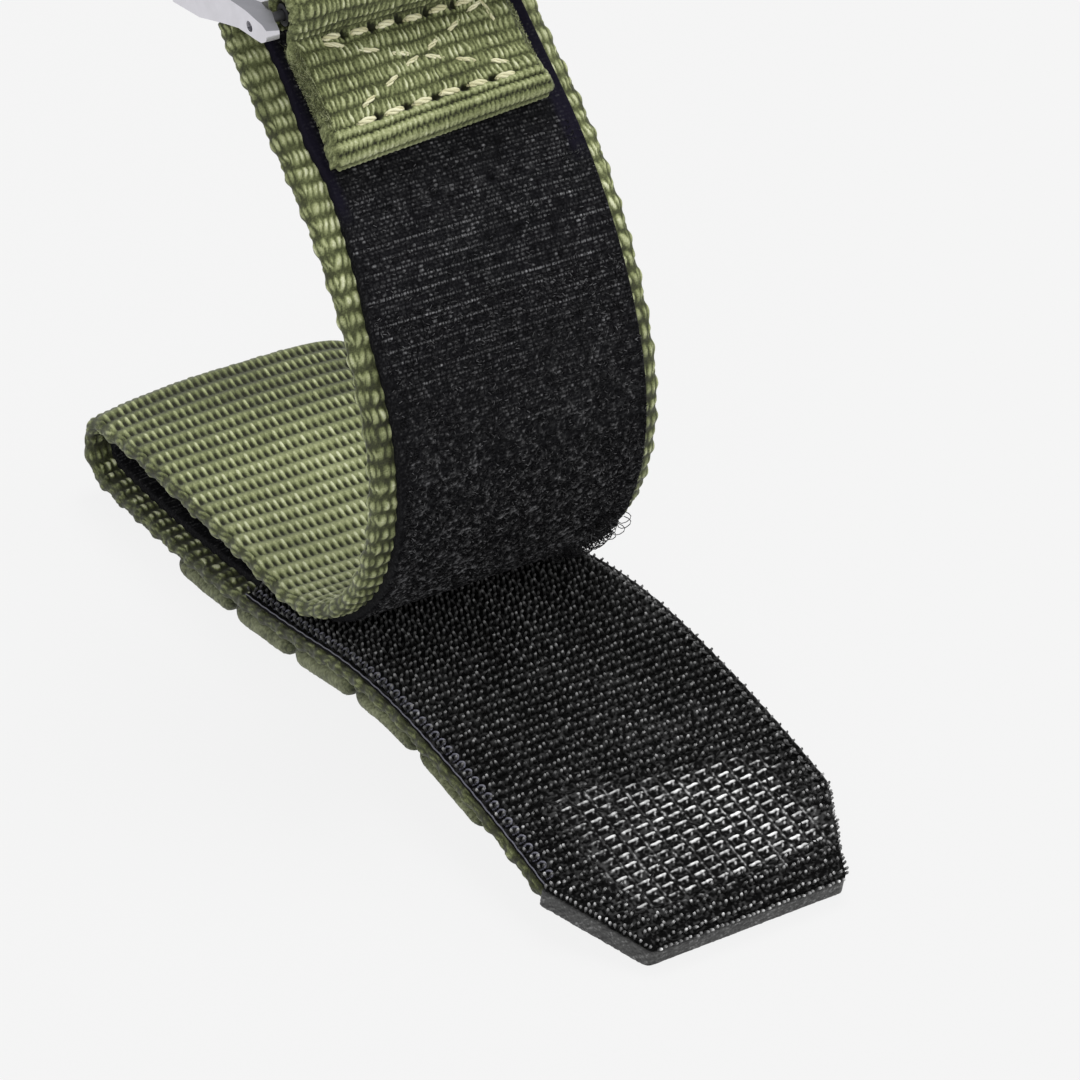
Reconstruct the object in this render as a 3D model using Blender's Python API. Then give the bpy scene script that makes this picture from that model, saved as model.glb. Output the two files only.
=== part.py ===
"""Ribbed nylon watch strap with a hook-and-loop closure and a metal lug adapter.

The strap is one flat ribbon. It starts at the hook tip, runs back along the surface that it
lies on, folds over, comes forward again and then rises in a wide bend to the spring bar.
Every fabric piece is drawn in ribbon space and laid along that path:
    x  across the ribbon
    s  along the path, from the tip (0) to the end under the adapter
    n  off the middle of the webbing; side A, with the hooks and loops, is positive
"""

from math import asin, atan2, ceil, cos, pi, radians, sin, tan

import bmesh
import bpy
from mathutils import Matrix, Vector

MM = 0.001

# Webbing and the layers sewn to it
STRAP_WIDTH = 26.0 * MM
WEBBING_THICKNESS = 1.7 * MM
EDGE_ROUNDING = 0.5 * MM
LAYER_GAP = 0.15 * MM
CUT_GAP = 0.3 * MM
HOOK_TAPE_THICKNESS = 0.5 * MM
HOOK_TAPE_MARGIN = 0.2 * MM
LINING_THICKNESS = 0.5 * MM
LINING_MARGIN_LEFT = 3.2 * MM
LINING_MARGIN_RIGHT = 2.2 * MM

# Path of the ribbon: each run has a length and a turn, positive towards side A
TIP_RUN = 10.0 * MM
CREST_RUN = 19.0 * MM
CREST_TURN = radians(-8.5)
SAG_RUN = 14.0 * MM
SAG_TURN = radians(-16.0)
BACK_RUN = 41.0 * MM
BACK_TURN = radians(11.0)
FOLD_RADIUS = 2.7 * MM
FOLD_TURN = radians(179.5)
MIDDLE_RUN = 30.5 * MM
BEND_RUN = 36.0 * MM
BEND_TURN = radians(-107.0)
RISE_RUN = 19.5 * MM
RISE_TURN = radians(-32.5)
TOP_RUN = 13.5 * MM
LARGEST_STEP = radians(5.0)

# Hook end
TIP_INSET = 4.2 * MM
CHAMFER_LENGTH = 8.8 * MM
HOOK_TAPE_LENGTH = 57.0 * MM
GRIP_COUNT = 5
GRIP_START = 18.0 * MM
GRIP_PITCH = 10.5 * MM
GRIP_DEPTH = 1.6 * MM
GRIP_INSET = 0.4 * MM
GRIP_GAP = 0.4 * MM
GRIP_OUTLINE_SHARES = [
    (0.0, 0.0), (0.0, 0.5), (0.03, 0.78), (0.1, 0.95), (0.2, 1.0), (0.5, 1.0),
    (0.8, 1.0), (0.9, 0.95), (0.97, 0.78), (1.0, 0.5), (1.0, 0.0),
]

# Folding joints of the ribbon
BEND_HINGE_SHARE = 0.5
BEND_WEDGE = radians(23.0)

# Seams
SEAM_WIDTH = 0.7 * MM
SEAM_HEIGHT = 0.3 * MM
SEAM_CLEARANCE = 0.1 * MM
HOOK_SEAM_START = 3.5 * MM
HOOK_SEAM_LENGTH = 13.0 * MM
HOOK_SEAM_MARGIN = 4.5 * MM
TAB_SEAM_MARGIN = 1.7 * MM
TAB_SEAM_LENGTH = 7.2 * MM
TAB_SEAM_SIDE_MARGIN = 2.35 * MM

# Spring bar
BAR_RADIUS = 0.9 * MM
BAR_WALL = 0.25 * MM
BAR_LIP = 0.6 * MM
PIN_RADIUS = 0.4 * MM
PIN_CLEARANCE = 0.08 * MM
PIN_HEAD_RADIUS = 0.53 * MM
PIN_HEAD_LENGTH = 1.4 * MM
PIN_STOP_GAP = 0.1 * MM
PIN_REACH = 1.3 * MM
BAR_SETBACK = 2.9 * MM
BAR_LIFT = 5.0 * MM
SPRING_WIRE_RADIUS = 0.09 * MM
SPRING_RADIUS = 0.42 * MM
SPRING_TURNS = 14
SPRING_END_GAP = 0.2 * MM

# Sewn tab that carries the spring bar
TAB_INSET = 3.0 * MM
TAB_LENGTH = 14.2 * MM
TAB_THICKNESS = 1.9 * MM
TAB_END_ROUNDING = 0.4 * MM
TAB_LOOP_CLEARANCE = 0.2 * MM
TAB_LOOP_WALL = 1.3 * MM
STRAP_END_TRIM = 1.4 * MM

# Lug adapter, drawn from the spring bar: a runs out to the rail, b is up
ADAPTER_TILT = radians(-5.0)
ADAPTER_SIDE_GAP = 0.4 * MM
EAR_FRONT = 2.8 * MM
EAR_BELOW = 0.9 * MM
EAR_ABOVE = 1.3 * MM
EAR_LIP = 1.5 * MM
NECK_LENGTH = 5.2 * MM
RAIL_START = 8.6 * MM
RAIL_END = 14.0 * MM
RAIL_BELOW = 1.9 * MM
RAIL_ABOVE = 2.4 * MM
RAIL_CHAMFER = 0.9 * MM
SLOT_CLEARANCE = 0.5 * MM
CUT_OVERRUN = 2.0 * MM
ROUND_STEPS = 20

HALF_WIDTH = STRAP_WIDTH / 2
HALF_WEBBING = WEBBING_THICKNESS / 2
LAYER_BASE = HALF_WEBBING + LAYER_GAP
FOLD_RUN = FOLD_RADIUS * FOLD_TURN
PATH = [
    (TIP_RUN, 0.0), (CREST_RUN, CREST_TURN), (SAG_RUN, SAG_TURN), (BACK_RUN, BACK_TURN),
    (FOLD_RUN, FOLD_TURN), (MIDDLE_RUN, 0.0), (BEND_RUN, BEND_TURN), (RISE_RUN, RISE_TURN),
    (TOP_RUN, 0.0),
]
FOLD_START = TIP_RUN + CREST_RUN + SAG_RUN + BACK_RUN
FOLD_APEX = FOLD_START + FOLD_RUN / 2
BEND_START = FOLD_START + FOLD_RUN + MIDDLE_RUN
BEND_HINGE = BEND_START + BEND_RUN * BEND_HINGE_SHARE
PATH_END = BEND_START + BEND_RUN + RISE_RUN + TOP_RUN
STRAP_END = PATH_END - STRAP_END_TRIM
BAR_STATION = PATH_END - BAR_SETBACK
TAB_START = PATH_END - TAB_LENGTH
TAB_BASE = LAYER_BASE + LINING_THICKNESS + LAYER_GAP
TAB_TOP = TAB_BASE + TAB_THICKNESS
TAB_WIDTH = STRAP_WIDTH - 2 * TAB_INSET
LOOP_INNER = BAR_RADIUS + TAB_LOOP_CLEARANCE
LOOP_OUTER = LOOP_INNER + TAB_LOOP_WALL
EAR_INNER = TAB_WIDTH / 2 + ADAPTER_SIDE_GAP
EAR_OUTER = HALF_WIDTH
BAR_HALF_LENGTH = EAR_INNER - CUT_GAP
BAR_BORE = BAR_RADIUS - BAR_WALL


def along(distance):
    """Place and heading of the path, before the strap is laid on its rest surface."""
    y = z = heading = 0.0
    for length, turn in PATH:
        part = min(distance, length)
        angle = turn * part / length
        if angle:
            radius = part / angle
            y += radius * (sin(heading + angle) - sin(heading))
            z -= radius * (cos(heading + angle) - cos(heading))
        else:
            y += part * cos(heading)
            z += part * sin(heading)
        heading += angle
        distance -= part
        if distance <= 0:
            return y, z, heading
    return y + distance * cos(heading), z + distance * sin(heading), heading


def off_path(s, n):
    y, z, heading = along(s)
    return y - n * sin(heading), z + n * cos(heading)


def grip_span(index):
    start = GRIP_START + index * GRIP_PITCH
    return start + GRIP_GAP / 2, start + GRIP_PITCH - GRIP_GAP / 2


def grip_outline(index):
    first, last = grip_span(index)
    base = -LAYER_BASE
    return [(first + (last - first) * u, base - GRIP_DEPTH * v) for u, v in GRIP_OUTLINE_SHARES]


def path_stations():
    stations = [0.0]
    for length, turn in PATH:
        steps = max(1, ceil(abs(turn) / LARGEST_STEP))
        start = stations[-1]
        stations += [start + length * (k + 1) / steps for k in range(steps)]
    return stations


def lay_down():
    """Tilt and shift that rest the tip and the lowest grip on z = 0, centred in y."""
    tip = off_path(0.0, -HALF_WEBBING)
    under = [off_path(s, n) for k in range(GRIP_COUNT) for s, n in grip_outline(k)]
    under += [off_path(s, -HALF_WEBBING) for s in path_stations() if 0 < s < FOLD_APEX]
    tilt = min(atan2(z - tip[1], y - tip[0]) for y, z in under)
    ends = [off_path(0.0, LAYER_BASE + HOOK_TAPE_THICKNESS), off_path(FOLD_APEX, -HALF_WEBBING)]
    turned = [(y * cos(tilt) + z * sin(tilt)) for y, z in ends]
    base = -tip[0] * sin(tilt) + tip[1] * cos(tilt)
    return tilt, sum(turned) / len(turned), base


LAY_TILT, LAY_MIDDLE, LAY_BASE = lay_down()


def laid(y, z):
    return (
        y * cos(LAY_TILT) + z * sin(LAY_TILT) - LAY_MIDDLE,
        -y * sin(LAY_TILT) + z * cos(LAY_TILT) - LAY_BASE,
    )


def place(x, s, n):
    y, z = laid(*off_path(s, n))
    return Vector((x, y, z))


def heading_at(s):
    return along(s)[2] - LAY_TILT


BAR_CENTRE = place(0.0, BAR_STATION, BAR_LIFT)
FOLD_HINGE_POINT = place(0.0, FOLD_APEX, -HALF_WEBBING)
BEND_HINGE_POINT = place(0.0, BEND_HINGE, 0.0)


def from_bar(x, a, b):
    """Point of the adapter, whose own axes are tilted about the spring bar."""
    y = a * cos(ADAPTER_TILT) - b * sin(ADAPTER_TILT)
    z = a * sin(ADAPTER_TILT) + b * cos(ADAPTER_TILT)
    return BAR_CENTRE + Vector((x, y, z))


def material(name, colour, roughness, metallic=0.0):
    made = bpy.data.materials.new(name)
    made.use_nodes = True
    shader = made.node_tree.nodes["Principled BSDF"]
    shader.inputs["Base Color"].default_value = (*colour, 1.0)
    shader.inputs["Roughness"].default_value = roughness
    shader.inputs["Metallic"].default_value = metallic
    made.diffuse_color = (*colour, 1.0)
    return made


def joint_empty(name, point, parent=None):
    empty = bpy.data.objects.new(name, None)
    bpy.context.collection.objects.link(empty)
    empty.location = point
    if parent:
        empty.parent = parent
        empty.location = point - parent_place(parent)
    return empty


def parent_place(parent):
    place_sum = Vector()
    while parent:
        place_sum += parent.location
        parent = parent.parent
    return place_sum


def add_object(name, mesh_data, parent, finish, smooth=False):
    """Object for a mesh drawn in world places, hung on its joint's empty."""
    if parent:
        mesh_data.transform(Matrix.Translation(-parent_place(parent)))
    if smooth:
        mesh_data.shade_smooth()
        mesh_data.set_sharp_from_angle(angle=radians(40))
    made = bpy.data.objects.new(name, mesh_data)
    bpy.context.collection.objects.link(made)
    made.parent = parent
    made.data.materials.append(finish)
    return made


def mesh_from(name, points, faces):
    data = bpy.data.meshes.new(name)
    data.from_pydata(points, [], faces)
    shell = bmesh.new()
    shell.from_mesh(data)
    bmesh.ops.recalc_face_normals(shell, faces=shell.faces)
    shell.to_mesh(data)
    shell.free()
    return data


def tube_faces(rings, around):
    faces = []
    for r in range(rings - 1):
        for k in range(around):
            a, b = r * around + k, r * around + (k + 1) % around
            faces.append((a, b, b + around, a + around))
    faces.append(tuple(range(around)))
    faces.append(tuple((rings - 1) * around + k for k in reversed(range(around))))
    return faces


def half_width_at(s):
    """The tip is cut to a trapezoid."""
    return HALF_WIDTH - TIP_INSET * max(0.0, 1 - s / CHAMFER_LENGTH)


def webbing_section(half):
    e, t = EDGE_ROUNDING, HALF_WEBBING
    corners = [(half, t - e), (half - e, t), (e - half, t), (-half, t - e)]
    return corners + [(-x, -n) for x, n in corners]


def layer_section(left, right, base, thickness):
    return [(right, base), (right, base + thickness), (left, base + thickness), (left, base)]


def ribbon(name, section_at, start, end, wedges=(0.0, 0.0)):
    """Sweep of a section along the path. A wedge opens an end cut by that angle each way."""
    stations = [start] + [s for s in path_stations() if start < s < end] + [end]
    if start < CHAMFER_LENGTH < end:
        stations = sorted(set(stations + [CHAMFER_LENGTH]))
    points = []
    for s in stations:
        for x, n in section_at(s):
            shift = 0.0
            if s == start:
                shift = abs(n) * tan(wedges[0])
            if s == end:
                shift = -abs(n) * tan(wedges[1])
            points.append(place(x, s + shift, n))
    return mesh_from(name, points, tube_faces(len(stations), len(section_at(start))))


def prism(name, outline, holes, low, high, put):
    """Outline with holes, drawn in (u, v), from low to high, each point placed by put(w, u, v)."""
    flat = bmesh.new()
    edges = []
    for loop in [outline] + holes:
        corners = [flat.verts.new((u, v, 0.0)) for u, v in loop]
        edges += [flat.edges.new((corners[k - 1], corners[k])) for k in range(len(corners))]
    bmesh.ops.triangle_fill(flat, edges=edges, use_beauty=True, normal=(0, 0, 1))
    flat.verts.index_update()
    plan = [(v.co.x, v.co.y) for v in flat.verts]
    tops = [[v.index for v in f.verts] for f in flat.faces]
    flat.free()
    count = len(plan)
    points = [put(w, u, v) for w in (low, high) for u, v in plan]
    faces = [tuple(f) for f in tops] + [tuple(k + count for k in reversed(f)) for f in tops]
    start = 0
    for loop in [outline] + holes:
        size = len(loop)
        for k in range(size):
            a, b = start + k, start + (k + 1) % size
            faces.append((a, b, b + count, a + count))
        start += size
    return mesh_from(name, points, faces)


def turned(name, profile, centre):
    """Ring of a closed (x, radius) profile about the bar's axis."""
    points = []
    for k in range(ROUND_STEPS):
        angle = 2 * pi * k / ROUND_STEPS
        for x, radius in profile:
            points.append(centre + Vector((x, radius * cos(angle), radius * sin(angle))))
    size = len(profile)
    faces = []
    for k in range(ROUND_STEPS):
        for j in range(size):
            a, b = k * size + j, k * size + (j + 1) % size
            after = ((k + 1) % ROUND_STEPS) * size
            faces.append((a, b, after + (j + 1) % size, after + j))
    return mesh_from(name, points, faces)


def solid_turned(name, profile, centre):
    """Solid of an open (x, radius) profile whose ends are closed by flat caps."""
    points = []
    for x, radius in profile:
        for k in range(ROUND_STEPS):
            angle = 2 * pi * k / ROUND_STEPS
            points.append(centre + Vector((x, radius * cos(angle), radius * sin(angle))))
    return mesh_from(name, points, tube_faces(len(profile), ROUND_STEPS))


def add_webbing(green, hook_leg, middle_leg, anchor_leg):
    def full(s):
        return webbing_section(half_width_at(s))

    seal = material("tip_seal", (0.045, 0.047, 0.045), 0.6)
    gap = CUT_GAP / 2
    start = CHAMFER_LENGTH + gap
    add_object("tip_seal", ribbon("tip_seal", full, 0.0, CHAMFER_LENGTH - gap), hook_leg, seal)
    legs = [
        ("webbing_hook_leg", start, FOLD_APEX - gap, (0.0, 0.0), hook_leg),
        ("webbing_middle_leg", FOLD_APEX + gap, BEND_HINGE - gap, (0.0, BEND_WEDGE), middle_leg),
        ("webbing_anchor_leg", BEND_HINGE + gap, STRAP_END, (BEND_WEDGE, 0.0), anchor_leg),
    ]
    for name, first, last, wedges, parent in legs:
        add_object(name, ribbon(name, full, first, last, wedges), parent, green)


def add_hook_tape(hook_leg):
    black = material("hook_tape", (0.012, 0.012, 0.013), 0.55)

    def section(s):
        half = half_width_at(s) - HOOK_TAPE_MARGIN
        return layer_section(-half, half, LAYER_BASE, HOOK_TAPE_THICKNESS)

    tape = ribbon("hook_tape", section, 0.0, HOOK_TAPE_LENGTH - CUT_GAP / 2)
    add_object("hook_tape", tape, hook_leg, black)


def add_linings(hook_leg, middle_leg, anchor_leg):
    navy = material("loop_lining", (0.014, 0.013, 0.02), 0.9)
    left = LINING_MARGIN_LEFT - HALF_WIDTH
    right = HALF_WIDTH - LINING_MARGIN_RIGHT
    gap = CUT_GAP / 2

    def section(s):
        return layer_section(left, right, LAYER_BASE, LINING_THICKNESS)

    legs = [
        ("loop_lining_hook_leg", HOOK_TAPE_LENGTH + gap, FOLD_APEX - gap, (0.0, 0.0), hook_leg),
        ("loop_lining_middle_leg", FOLD_APEX + gap, BEND_HINGE - gap, (0.0, BEND_WEDGE), middle_leg),
        ("loop_lining_anchor_leg", BEND_HINGE + gap, STRAP_END, (BEND_WEDGE, 0.0), anchor_leg),
    ]
    for name, first, last, wedges, parent in legs:
        add_object(name, ribbon(name, section, first, last, wedges), parent, navy)


def add_grips(hook_leg):
    soft_green = material("grip", (0.13, 0.15, 0.07), 0.95)
    half = HALF_WIDTH - GRIP_INSET
    for k in range(GRIP_COUNT):
        name = f"grip_rib_{k + 1}"
        add_object(name, prism(name, grip_outline(k), [], -half, half, place), hook_leg, soft_green)


def box_cross(length, width, start):
    """Outline and the four triangular holes of a sewn box with a cross."""
    w = SEAM_WIDTH
    half = width / 2
    end = start + length
    outline = [(start, -half), (end, -half), (end, half), (start, half)]
    middle = (start + end) / 2
    outline.insert(1, (middle, -half))
    outline.insert(4, (middle, half))
    aspect = length / width
    slant = (1 + aspect * aspect) ** 0.5
    near_s, near_x = w * slant / 2, w * slant / aspect / 2
    inner_s, inner_x = length / 2 - w, half - w
    side_x = inner_s / aspect - near_x
    side_s = inner_x * aspect - near_s
    low = [(middle - near_s, 0.0), (middle - inner_s, side_x), (middle - inner_s, -side_x)]
    high = [(2 * middle - s, x) for s, x in low]
    left = [(middle, -near_x), (middle - side_s, -inner_x)]
    left += [(middle, -inner_x), (middle + side_s, -inner_x)]
    right = [(s, -x) for s, x in left]
    return outline, [low, high, left, right]


def add_seam(name, box, surface, parent, thread):
    outline, holes = box_cross(*box)
    low = surface + SEAM_CLEARANCE

    def put(n, s, x):
        return place(x, s, n)

    band = prism(name, outline, holes, low, low + SEAM_HEIGHT, put)
    add_object(name, band, parent, thread)


def tab_outline():
    """Side view of the tab: a flat sewn stretch that runs into the loop round the bar."""
    r = TAB_END_ROUNDING
    centre_s, centre_n = BAR_STATION, BAR_LIFT
    points = [(TAB_START, TAB_TOP - r), (TAB_START, TAB_BASE), (centre_s - LOOP_OUTER, TAB_BASE)]
    first = -pi / 2
    last = pi + asin((centre_n - TAB_TOP) / LOOP_OUTER)
    for k in range(ROUND_STEPS + 1):
        angle = first + (last - first) * k / ROUND_STEPS
        points.append((centre_s + LOOP_OUTER * cos(angle), centre_n + LOOP_OUTER * sin(angle)))
    points.append((TAB_START + r, TAB_TOP))
    bore = []
    for k in range(ROUND_STEPS):
        angle = 2 * pi * k / ROUND_STEPS
        bore.append((centre_s + LOOP_INNER * cos(angle), centre_n + LOOP_INNER * sin(angle)))
    return points, [bore]


def add_tab(green, anchor_leg):
    outline, bore = tab_outline()
    half = TAB_WIDTH / 2
    add_object("anchor_tab", prism("anchor_tab", outline, bore, -half, half, place), anchor_leg, green)


def pin_profile(side):
    """Sprung pin: its head inside the tube, its shank through the tube's lip into the ear."""
    inner = BAR_HALF_LENGTH - BAR_LIP - PIN_STOP_GAP
    outer = EAR_INNER + PIN_REACH
    tip = PIN_RADIUS / 2
    profile = [
        (inner - PIN_HEAD_LENGTH, PIN_HEAD_RADIUS), (inner, PIN_HEAD_RADIUS), (inner, PIN_RADIUS),
        (outer - tip, PIN_RADIUS), (outer, tip),
    ]
    return [(side * x, radius) for x, radius in profile]


def add_spring_bar(anchor_leg, left_slide, right_slide):
    steel = material("spring_bar", (0.55, 0.55, 0.56), 0.3, 1.0)
    spring_steel = material("bar_spring", (0.4, 0.4, 0.42), 0.35, 1.0)
    half, lip = BAR_HALF_LENGTH, PIN_RADIUS + PIN_CLEARANCE
    outer = [(-half, lip), (-half, BAR_RADIUS), (half, BAR_RADIUS), (half, lip)]
    inner = [(half - BAR_LIP, lip), (half - BAR_LIP, BAR_BORE)]
    inner += [(BAR_LIP - half, BAR_BORE), (BAR_LIP - half, lip)]
    tube = turned("spring_bar_tube", outer + inner, BAR_CENTRE)
    add_object("spring_bar_tube", tube, anchor_leg, steel, smooth=True)
    for side, slide, name in ((-1, left_slide, "left"), (1, right_slide, "right")):
        node = f"spring_bar_pin_{name}"
        pin = solid_turned(node, pin_profile(side), BAR_CENTRE)
        add_object(node, pin, slide, steel, smooth=True)
    add_bar_spring(anchor_leg, spring_steel)


def add_bar_spring(anchor_leg, finish):
    """Helix between the two pin heads."""
    reach = BAR_HALF_LENGTH - BAR_LIP - PIN_STOP_GAP - PIN_HEAD_LENGTH
    half = reach - SPRING_END_GAP - SPRING_WIRE_RADIUS
    per_turn, sides = 10, 4
    total = SPRING_TURNS * per_turn
    points = []
    for k in range(total + 1):
        angle = 2 * pi * k / per_turn
        x = -half + 2 * half * k / total
        out = Vector((0.0, cos(angle), sin(angle)))
        for j in range(sides):
            around = 2 * pi * (j + 0.5) / sides
            radial = SPRING_RADIUS + SPRING_WIRE_RADIUS * cos(around)
            across = Vector((x + SPRING_WIRE_RADIUS * sin(around), 0.0, 0.0))
            points.append(BAR_CENTRE + out * radial + across)
    helix = mesh_from("bar_spring", points, tube_faces(total + 1, sides))
    add_object("bar_spring", helix, anchor_leg, finish, smooth=True)


def adapter_outline():
    """Side view of the adapter: thin ears at the bar, a deeper rail at the far end."""
    c = RAIL_CHAMFER
    return [
        (-EAR_BELOW, -EAR_BELOW), (NECK_LENGTH, -EAR_BELOW), (RAIL_START, -RAIL_BELOW),
        (RAIL_END - c, -RAIL_BELOW), (RAIL_END, c - RAIL_BELOW), (RAIL_END, RAIL_ABOVE - c),
        (RAIL_END - c, RAIL_ABOVE), (RAIL_START, RAIL_ABOVE), (NECK_LENGTH, EAR_ABOVE),
        (0.0, EAR_ABOVE), (-EAR_LIP, EAR_LIP), (-EAR_FRONT, EAR_LIP),
        (-EAR_FRONT, EAR_ABOVE / 2), (-EAR_LIP, 0.0),
    ]


def add_cutter(name, mesh_data, parent):
    cutter = add_object(name, mesh_data, parent, bpy.data.materials["spring_bar"])
    cutter.hide_render = True
    cutter.display_type = "WIRE"
    return cutter


def add_adapter(swivel):
    satin = material("lug_adapter", (0.78, 0.78, 0.8), 0.28, 1.0)
    body = prism("lug_adapter", adapter_outline(), [], -EAR_OUTER, EAR_OUTER, from_bar)
    adapter = add_object("lug_adapter", body, swivel, satin)
    front, back = -EAR_FRONT - CUT_OVERRUN, LOOP_OUTER + SLOT_CLEARANCE
    deep = RAIL_ABOVE + CUT_OVERRUN
    window = [(front, -deep), (back, -deep), (back, deep), (front, deep)]
    slot = prism("adapter_slot_cutter", window, [], -EAR_INNER, EAR_INNER, from_bar)
    reach = EAR_OUTER + CUT_OVERRUN
    hole = PIN_RADIUS + PIN_CLEARANCE
    bore = solid_turned("adapter_bore_cutter", [(-reach, hole), (reach, hole)], BAR_CENTRE)
    for name, data in (("adapter_slot_cutter", slot), ("adapter_bore_cutter", bore)):
        cut = adapter.modifiers.new(name, "BOOLEAN")
        cut.operation = "DIFFERENCE"
        cut.object = add_cutter(name, data, swivel)


def clear_scene():
    for old in list(bpy.data.objects):
        bpy.data.objects.remove(old, do_unlink=True)


def build():
    clear_scene()
    hook_leg = None
    middle_leg = joint_empty("fold_hinge", FOLD_HINGE_POINT)
    anchor_leg = joint_empty("bend_hinge", BEND_HINGE_POINT, middle_leg)
    swivel = joint_empty("adapter_swivel", BAR_CENTRE, anchor_leg)
    left_slide = joint_empty("pin_slide_left", BAR_CENTRE, anchor_leg)
    right_slide = joint_empty("pin_slide_right", BAR_CENTRE, anchor_leg)
    green = material("webbing", (0.18, 0.2, 0.085), 0.8)
    add_webbing(green, hook_leg, middle_leg, anchor_leg)
    add_hook_tape(hook_leg)
    add_linings(hook_leg, middle_leg, anchor_leg)
    add_grips(hook_leg)
    black_thread = material("black_thread", (0.02, 0.02, 0.02), 0.6)
    pale_thread = material("pale_thread", (0.55, 0.55, 0.33), 0.6)
    hook_top = LAYER_BASE + HOOK_TAPE_THICKNESS
    hook_box = (HOOK_SEAM_LENGTH, STRAP_WIDTH - 2 * HOOK_SEAM_MARGIN, HOOK_SEAM_START)
    add_seam("hook_seam", hook_box, hook_top, hook_leg, black_thread)
    tab_box = (TAB_SEAM_LENGTH, TAB_WIDTH - 2 * TAB_SEAM_SIDE_MARGIN, TAB_START + TAB_SEAM_MARGIN)
    add_tab(green, anchor_leg)
    add_seam("tab_seam", tab_box, TAB_TOP, anchor_leg, pale_thread)
    add_spring_bar(anchor_leg, left_slide, right_slide)
    add_adapter(swivel)


build()
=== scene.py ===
"""Looks of the ribbed nylon watch strap: woven webbing, hooks, loops, stitches and satin metal."""

from math import atan, cos, pi, radians, sin

import bmesh
import bpy
import numpy as np
from mathutils import Euler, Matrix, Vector


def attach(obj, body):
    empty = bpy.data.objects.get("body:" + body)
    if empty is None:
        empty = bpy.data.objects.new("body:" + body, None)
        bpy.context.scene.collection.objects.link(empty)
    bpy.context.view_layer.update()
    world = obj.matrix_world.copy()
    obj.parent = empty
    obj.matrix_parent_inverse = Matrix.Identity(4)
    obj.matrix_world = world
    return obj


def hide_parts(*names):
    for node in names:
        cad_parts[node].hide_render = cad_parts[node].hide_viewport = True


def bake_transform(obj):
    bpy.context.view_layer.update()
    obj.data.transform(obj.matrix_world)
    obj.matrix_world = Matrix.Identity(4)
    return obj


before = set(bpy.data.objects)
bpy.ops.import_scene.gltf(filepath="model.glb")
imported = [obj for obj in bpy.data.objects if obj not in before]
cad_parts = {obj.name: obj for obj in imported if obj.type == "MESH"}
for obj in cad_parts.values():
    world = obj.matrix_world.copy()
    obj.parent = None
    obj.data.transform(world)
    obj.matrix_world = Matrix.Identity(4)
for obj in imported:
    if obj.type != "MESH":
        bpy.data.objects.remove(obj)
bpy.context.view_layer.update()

# Lengths are in millimetres here, and are turned into metres when a mesh is made.
MM = 0.001
HALF_WIDTH = 13.0

# The strip's path in the plane of y and z: its start, then arcs as (length, turn in degrees)
START_Y = -43.154
START_Z = 0.825
START_HEADING = 0.242425
FOLD_RADIUS = 2.7
FOLD_TURN = 179.5
PATH = [
    (10.0, 0.0), (19.0, -8.5), (14.0, -16.0), (41.0, 11.0), (FOLD_RADIUS * radians(FOLD_TURN), FOLD_TURN),
    (30.5, 0.0), (36.0, -107.0), (19.5, -32.5), (13.5, 0.0),
]
PATH_END = 191.959
STRAP_END = 190.559

# Path stations that bound the cloth between two legs, and stations near the middle of that turn
FOLD_SPAN = (80.0, 96.4)
FOLD_FLEX = (84.0, 92.46)
BEND_SPAN = (129.0, 153.0)
BEND_FLEX = (133.0, 149.0)

# Middle of the spring bar, as (y, z)
BAR = (6.496, 59.276)

# Pitch of the webbing's ribs, by path station
RIB_STATIONS = [0.0, 60.0, 84.0, 92.0, 124.0, 140.0, 192.0]
RIB_PITCHES = [1.72, 1.66, 1.62, 1.95, 1.95, 1.5, 1.45]

# How far the strip's middle stands above its sides, by path station
CROWN_STATIONS = [0.0, 76.0, 84.0, 92.0, 102.0, 118.0, 134.0, 192.0]
CROWN_RISES = [0.0, 0.0, 0.5, 1.45, 1.3, 0.6, 0.0, 0.0]
CURL_STATIONS = [90.0, 99.0, 120.0, 130.0]
CURL_RISES = [0.0, 0.9, 0.9, 0.0]

rng = np.random.default_rng(7)


def cut(value):
    return np.clip(value, 0, None)


def unit(value):
    return np.clip(value, 0, 1)


def path_frame(s):
    """Place (y, z) and heading of the path at station s. It runs straight on past both ends."""
    s = np.asarray(s, float)
    y = np.full(s.shape, START_Y)
    z = np.full(s.shape, START_Z)
    heading = np.full(s.shape, START_HEADING)
    begin, base = 0.0, START_HEADING
    for length, turn in PATH:
        part = np.clip(s - begin, 0, length)
        bend = radians(turn) / length
        if bend:
            y += (np.sin(base + part * bend) - sin(base)) / bend
            z -= (np.cos(base + part * bend) - cos(base)) / bend
        else:
            y += part * cos(base)
            z += part * sin(base)
        heading += part * bend
        begin += length
        base += radians(turn)
    beyond = cut(s - begin) + np.clip(s, None, 0)
    return y + beyond * np.cos(heading), z + beyond * np.sin(heading), heading


def place(x, s, n):
    """Points for x across the strip, s along its path and n off its middle."""
    x, s, n = np.broadcast_arrays(np.asarray(x, float), s, n)
    y, z, heading = path_frame(s)
    crown = 1 - (np.abs(x) / HALF_WIDTH) ** np.where(x > 0, 6, 2.2)
    rise = np.interp(s, CROWN_STATIONS, CROWN_RISES) * crown
    curl = np.interp(s, CURL_STATIONS, CURL_RISES) * np.clip(-(x + 4) / 9, 0, 1.1) ** 1.5
    return np.stack([x, y - n * np.sin(heading), z + n * np.cos(heading) + rise + curl], -1)


def rib_count(s):
    """Count of the ribs passed by station s."""
    fine = np.linspace(0, 200, 2001)
    pitch = np.interp(fine, RIB_STATIONS, RIB_PITCHES)
    passed = np.concatenate([[0], np.cumsum(0.1 / pitch[:-1])])
    return np.interp(s, fine, passed)


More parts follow.
